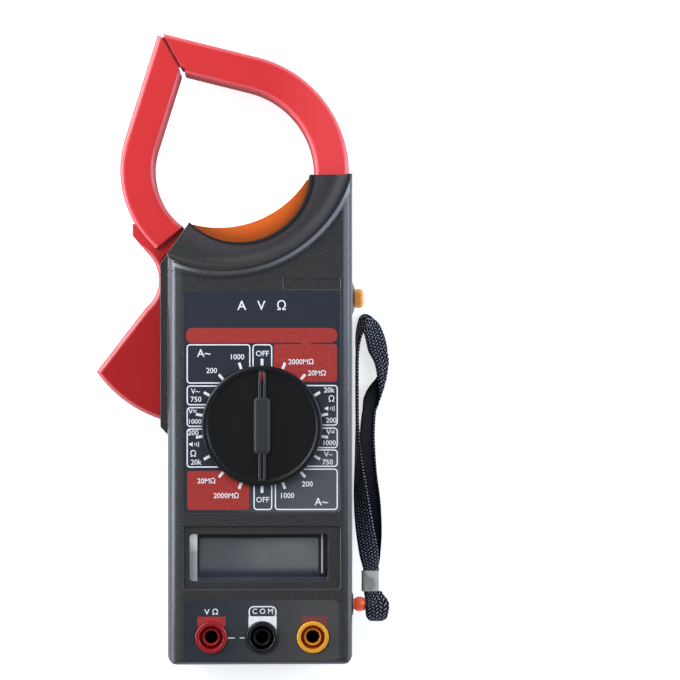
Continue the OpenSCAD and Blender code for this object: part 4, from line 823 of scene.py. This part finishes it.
lens = Finish("lens", (0.97, 0.98, 0.98), 0.04, Transmission_Weight=1.0, IOR=1.2)
lens.drive("Roughness", 0.02 + 0.04 * lens.place.noise(250.0))
wear(lens, "lcd_window")

glass = Finish("lcd_glass", GLASS_RIGHT, 0.25)
low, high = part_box("lcd_panel")
up_glass = (glass.place.part(1) - low.y) / (high.y - low.y)
along_glass = (glass.place.part(0) - low.x) / (high.x - low.x)
# Lighter towards the right, a painted reflection, and a little uneven.
uneven_reflection = along_glass * 0.5 + glass.place.noise(70.0, 1.0) * 0.5
glass_color = uneven_reflection.ramp(0.2, 0.9).blend(GLASS_LEFT, GLASS_RIGHT)
glass.drive("Base Color", up_glass.ramp(0.16, 0.34).blend(GLASS_FOOT, glass_color))
wear(glass, "lcd_panel")
print("lens and glass")

# %% Frame round the glass
FRAME_BLACK = (0.012, 0.012, 0.013)
FRAME_FOOT = (0.085, 0.086, 0.13)
FRAME_LEFT_LOW = (0.58, 0.58, 0.55)
FRAME_LEFT_TOP = (1, 1, 0.97)
FRAME_RIGHT = (0.8, 0.8, 0.78)

frame_black = Finish("frame_black", FRAME_BLACK, 0.3, Emission_Strength=0.25)
low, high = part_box("lcd_frame")
from_left = (frame_black.place.part(0) - low.x) / MM
from_right = (high.x - frame_black.place.part(0)) / MM
from_foot = (frame_black.place.part(1) - low.y) / MM
at_left = 1.0 - from_left.ramp(2.8, 3.1)
at_foot = 1.0 - from_foot.ramp(3.2, 3.6)
at_right = from_right.ramp(1.9, 2.1) * (1.0 - from_right.ramp(2.5, 2.7)) * from_foot.ramp(4.4, 5.2)
left_color = from_foot.ramp(12.0, 14.0).blend(FRAME_LEFT_LOW, FRAME_LEFT_TOP)
frame_color = at_foot.blend(FRAME_BLACK, FRAME_FOOT)
frame_color = at_left.blend(frame_color, left_color)
frame_black.drive("Base Color", at_right.blend(frame_color, FRAME_RIGHT))
# The left slope's painted reflection also has a faint painted glow.
mirrored = at_left * (0.25 + 0.75 * from_foot.ramp(13.0, 18.0))
frame_black.drive("Emission Color", mirrored.blend(UNLIT, FRAME_LEFT_TOP))
wear(frame_black, "lcd_frame")
print("frame round the glass")

# %% [markdown]
# ## The labels
# The two labels are thin printed films, navy at the upper left and greyer towards the lower right, a painted
# reflection of the room. Their cut edges are pale, partly as a painted highlight. They shine little, so that
# the print can be read from every side.

# %% Label films
FACE_NAVY = (0.026, 0.03, 0.042)
FACE_REFLECTION_GREY = (0.1, 0.102, 0.107)
JACK_NAVY = (0.028, 0.033, 0.041)
JACK_REFLECTION_GREY = (0.074, 0.071, 0.066)
CUT_EDGE_AND_HIGHLIGHT = (0.15, 0.155, 0.17)
SHEEN = 0.2

label_film = moulded("label_film", FACE_NAVY, 0.5, 1500.0, 0.00001, cloudy=0, Specular_IOR_Level=SHEEN)
jack_film = moulded("jack_film", JACK_NAVY, 0.5, 1500.0, 0.00001, cloudy=0, Specular_IOR_Level=SHEEN)
# Greyer towards the lower right, a painted reflection of the room.
face_reflection = (label_film.mm(0) - label_film.mm(1)).ramp(8.0, 48.0)
jack_reflection = jack_film.mm(0).ramp(-26.0, 26.0)
# The cut edges are pale, partly as a painted highlight.
for finish, color in ((label_film, face_reflection.blend(FACE_NAVY, FACE_REFLECTION_GREY)),
                      (jack_film, jack_reflection.blend(JACK_NAVY, JACK_REFLECTION_GREY))):
    finish.drive("Base Color", (0.7 * finish.edges(0.3)).blend(color, CUT_EDGE_AND_HIGHLIGHT))
wear(label_film, "face_label")
wear(jack_film, "jack_label")
ink_white = Finish("ink_white", (0.9, 0.9, 0.89), 0.55, Specular_IOR_Level=SHEEN).vary(0.04)
ink_red = Finish("ink_red", (0.4, 0.04, 0.032), 0.55, Specular_IOR_Level=SHEEN).vary(0.08)
ink_pale_red = Finish("ink_pale_red", (0.2, 0.053, 0.048), 0.55, Specular_IOR_Level=SHEEN).vary(0.08)
print("two films and three inks")

# %% [markdown]
# White boxes gather the ranges that belong together, and red panels mark some of them. The print could be a
# mask in the film's material, but a printed sheet is easier to draw as shapes than as a formula. So it is a
# layer of its own, a fiftieth of a millimetre high, sunk a little into the film. It runs on under the dial.

# %% Boxes and panels on the face
FACE_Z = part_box("face_label")[1].z / MM
INK = 0.02
SINK = 0.005
LINE = 0.46
BOX_ROUND = 1.3
BOXES = [
    (-27.4, -4.2, 15.35, 29.7), (-3.5, 3.75, 12, 29.7), (-27.4, -10, 7.45, 14.7), (-27.4, -10, -0.4, 6.85),
    (-27.4, -10, -15.2, -0.95), (10, 27.6, 0.0, 14.85), (10, 27.6, -8.2, -0.65), (10, 27.6, -15.0, -8.6),
    (4.65, 27.6, -30.7, -15.6), (-3.1, 3.75, -30.7, -12),
]
PANELS = [(-27.6, 27.3, 30.2, 35.6, 2.2), (4.25, 27.3, 15.95, 29.7, 1.0), (-27.15, -4.6, -30.6, -16.4, 1.0)]
BRIDGE = (14.2, 17.8, 29.6, 30.3)


def outline_band(bm, x0, x1, y0, y1, radius, low, high):
    """A line of the print's width along the inside of a rounded box."""
    outer = round_box(x0, x1, y0, y1, radius)
    inner = round_box(x0 + LINE, x1 - LINE, y0 + LINE, y1 - LINE, radius - LINE)
    band(bm, outer, inner, low, high)


def rectangle(x0, x1, y0, y1):
    return [(x0, y0), (x1, y0), (x1, y1), (x0, y1)]


face_white = bmesh.new()
face_red = bmesh.new()
for box in BOXES:
    outline_band(face_white, *box, BOX_ROUND, FACE_Z - SINK, FACE_Z + INK)
for panel in PANELS:
    plate(face_red, round_box(*panel), FACE_Z - SINK, FACE_Z + INK)
plate(face_red, rectangle(*BRIDGE), FACE_Z - SINK, FACE_Z + INK / 2)
print(len(BOXES), "boxes and", len(PANELS), "panels")

# %% [markdown]
# A tick stands at each stop of the dial. All are the same short bar, turned round the dial's axis.

# %% Ticks at the dial's stops
STOPS = 18
TICK_FROM = 22.0
TICK_TO = 24.4
TICK_HALF = 0.5

for k in range(STOPS):
    angle = 2 * math.pi * k / STOPS
    outwards = Vector((math.sin(angle), math.cos(angle)))
    aside = Vector((math.cos(angle), -math.sin(angle))) * TICK_HALF
    near, far = outwards * TICK_FROM, outwards * TICK_TO
    corners = [near - aside, near + aside, far + aside, far - aside]
    plate(face_white, [(p.x, p.y) for p in corners], FACE_Z, FACE_Z + 1.5 * INK)
bmesh.ops.recalc_face_normals(face_white, faces=face_white.faces)
bmesh.ops.recalc_face_normals(face_red, faces=face_red.faces)
print(STOPS, "ticks")

# %% [markdown]
# The figures are text objects in Blender's own font, made slightly bolder. Each is turned into a mesh
# straight away and gathered into the same mesh as the lines, so that all the white print is one piece.

# %% Lettering
FONT_PER_CAPITAL = 1.42
BOLDER = 0.03
FIGURES = [
    ("A~", -21.1, 26.3, 2.8), ("1000", -9.1, 25.0, 1.9), ("200", -18.3, 20.0, 1.9), ("OFF", 0.15, 26.2, 1.95),
    ("V~", -24.2, 12.5, 1.9), ("750", -24.0, 9.55, 1.9), ("V=", -25.2, 5.2, 1.85), ("1000", -24.5, 1.5, 1.75),
    ("200", -25.0, -2.6, 1.85), ("Ω", -25.0, -10.2, 2.2), ("20k", -24.0, -13.3, 1.85),
    ("20MΩ", -20.2, -20.1, 1.85), ("2000MΩ", -13.0, -25.5, 1.85), ("OFF", 0.25, -27.0, 1.95),
    ("1000", 9.1, -25.5, 1.9), ("200", 16.5, -21.3, 1.9), ("A~", 21.6, -27.8, 2.8),
    ("V~", 24.2, -10.5, 1.85), ("750", 23.9, -13.3, 1.85), ("V=", 25.0, -2.4, 1.85),
    ("1000", 24.4, -6.3, 1.75), ("20k", 24.4, 12.9, 1.85), ("Ω", 25.3, 9.7, 2.2), ("200", 25.2, 1.9, 1.85),
    ("2000MΩ", 14.2, 23.2, 1.85), ("20MΩ", 20.0, 19.1, 1.85), ("A   V   Ω", 0.0, 43.6, 3.4),
]


def letters(bm, words, x, y, size, z, wide=1.0):
    """Adds centred lettering. Size is the height of a capital in millimetres."""
    curve = bpy.data.curves.new("letters", "FONT")
    curve.body = words
    curve.align_x = "CENTER"
    curve.align_y = "CENTER"
    curve.size = size * FONT_PER_CAPITAL * MM
    curve.extrude = 0.5 * INK * MM
    curve.offset = BOLDER * MM
    curve.resolution_u = 3
    holder = bpy.data.objects.new("letters", curve)
    mesh = bpy.data.meshes.new_from_object(holder)
    bpy.data.objects.remove(holder)
    bpy.data.curves.remove(curve)
    place = Matrix.Translation(Vector((x, y, z + 1.2 * INK)) * MM)
    mesh.transform(place @ Matrix.Diagonal((wide, 1, 1, 1)))
    bm.from_mesh(mesh)
    bpy.data.meshes.remove(mesh)


for words, x, y, size in FIGURES:
    letters(face_white, words, x, y, size, FACE_Z)
print(len(FIGURES), "groups of figures")

# %% [markdown]
# Two of the ranges have a sound sign: a loudspeaker with three waves. Its outline is so small that a few
# points give it, and each wave is a bent strip between two arcs.

# %% Sound signs
HORN = [(-2.0, -0.35), (-1.4, -0.35), (-0.7, -0.9), (-0.7, 0.9), (-1.4, 0.35), (-2.0, 0.35)]
WAVES = (0.9, 1.6, 2.3)
WAVE_FROM = -0.9
WAVE_LINE = 0.26
WAVE_ANGLES = [math.radians(-24 + 8 * k) for k in range(7)]
SOUND_SIGNS = [(-24.5, -6.7), (24.8, 6.3)]


def arc(x, y, radius):
    return [(x + radius * math.cos(a), y + radius * math.sin(a)) for a in WAVE_ANGLES]


def sound_sign(bm, x, y, z):
    """A small loudspeaker with three sound waves."""
    plate(bm, [(x + a, y + b) for a, b in HORN], z - SINK, z + INK)
    for radius in WAVES:
        near = arc(x + WAVE_FROM, y, radius)
        away = arc(x + WAVE_FROM, y, radius + WAVE_LINE)
        plate(bm, away + near[::-1], z - SINK, z + INK)


for x, y in SOUND_SIGNS:
    sound_sign(face_white, x, y, FACE_Z)
bmesh.ops.recalc_face_normals(face_white, faces=face_white.faces)
face_print = add_object("face_print", finish_mesh(face_white, "face_print"), ink_white.material)
face_panels = add_object("face_panels", finish_mesh(face_red, "face_panels"), ink_red.material)
print(len(face_print.data.polygons), "faces of white print on the face")

# %% [markdown]
# The jack label has a coloured patch behind each jack. Each patch ends in an arc round its jack, because
# the jack stands through the label. A boolean cut would do it too, but the arc's height is a short formula.

# %% Print round the jacks
JACK_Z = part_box("jack_label")[1].z / MM
JACK_Y = -77.0
CLEAR_R = 5.95
ARC_STEPS = 24
ARCH = (-4.9, 5.3, -70.2, -65.6)
ARCH_ROUND = 1.9
DASHES = [(-12.5, -9.9, -77.35, -77.0), (-8.1, -6.3, -77.35, -77.0)]


def patch(bm, jack_x, x0, x1, top, foot):
    """A coloured patch over a jack, from its top down to the jack's edge."""
    points = [(x1, top), (x0, top)]
    for k in range(ARC_STEPS + 1):
        x = x0 + (x1 - x0) * k / ARC_STEPS
        reach = max(CLEAR_R ** 2 - (x - jack_x) ** 2, 0.0)
        points.append((x, max(JACK_Y + math.sqrt(reach), foot)))
    plate(bm, points, JACK_Z - SINK, JACK_Z + INK)


jack_white = bmesh.new()
jack_red = bmesh.new()
jack_pale = bmesh.new()
patch(jack_red, -18.5, -23.5, -13.3, -69.4, -73.0)
patch(jack_white, 0.0, -4.9, 5.3, -69.35, -74.4)
patch(jack_pale, 18.5, 14.1, 23.8, -69.4, -73.0)
outline_band(jack_white, *ARCH, ARCH_ROUND, JACK_Z - SINK, JACK_Z + 0.8 * INK)
for dash in DASHES:
    plate(jack_white, rectangle(*dash), JACK_Z - SINK, JACK_Z + INK)
letters(jack_white, "V Ω", -18.4, -67.8, 2.0, JACK_Z, 1.1)
letters(jack_white, "C O M", 0.3, -67.6, 1.9, JACK_Z)
for name, bm, ink in (("jack_print", jack_white, ink_white), ("jack_patch_red", jack_red, ink_red),
                      ("jack_patch_pale", jack_pale, ink_pale_red)):
    bmesh.ops.recalc_face_normals(bm, faces=bm.faces)
    add_object(name, finish_mesh(bm, name), ink.material)
print("print round the jacks")

# %% [markdown]
# ## The floor
# The meter lies on white paper, which here is a wide plane just below it. The paper glows a little, so that
# it stays white and still shows the meter's soft shadow. Seen from below its material turns clear, so that
# it never hides the meter's back.

# %% Floor
FLOOR_REACH = 6.0
FLOOR_BELOW = 0.4
PAPER_GLOW = 0.65

bm = bmesh.new()
bmesh.ops.create_grid(bm, x_segments=1, y_segments=1, size=FLOOR_REACH)
bmesh.ops.translate(bm, verts=bm.verts, vec=(0, 0, -FLOOR_BELOW * MM))
paper = Finish("paper", (0.95, 0.95, 0.95), 0.9, Emission_Color=(1, 1, 1, 1), Emission_Strength=PAPER_GLOW)
shaders = paper.tree
from_below = paper.place.make("ShaderNodeNewGeometry", out="Backfacing")
clear = paper.place.make("ShaderNodeBsdfTransparent")
lit = Wire(shaders, paper.shader.outputs[0])
surface = paper.place.make("ShaderNodeMixShader", None, {0: from_below, 1: lit, 2: clear})
shaders.links.new(surface.socket, shaders.nodes["Material Output"].inputs["Surface"])
floor = add_object("floor", finish_mesh(bm, "floor"), paper.material, body=None)
floor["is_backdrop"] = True
print("a floor", 2 * FLOOR_REACH, "m wide")

# %% [markdown]
# ## Last step
# The box round all that shows is kept beside the CAD model's box, to see that dressing the meter hasn't
# made it grow.

# %% Finish
shown_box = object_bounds()
for name, box in (("CAD", cad_box), ("shown", shown_box)):
    print(name, "box", [[round(v / MM, 1) for v in corner] for corner in box], "mm")
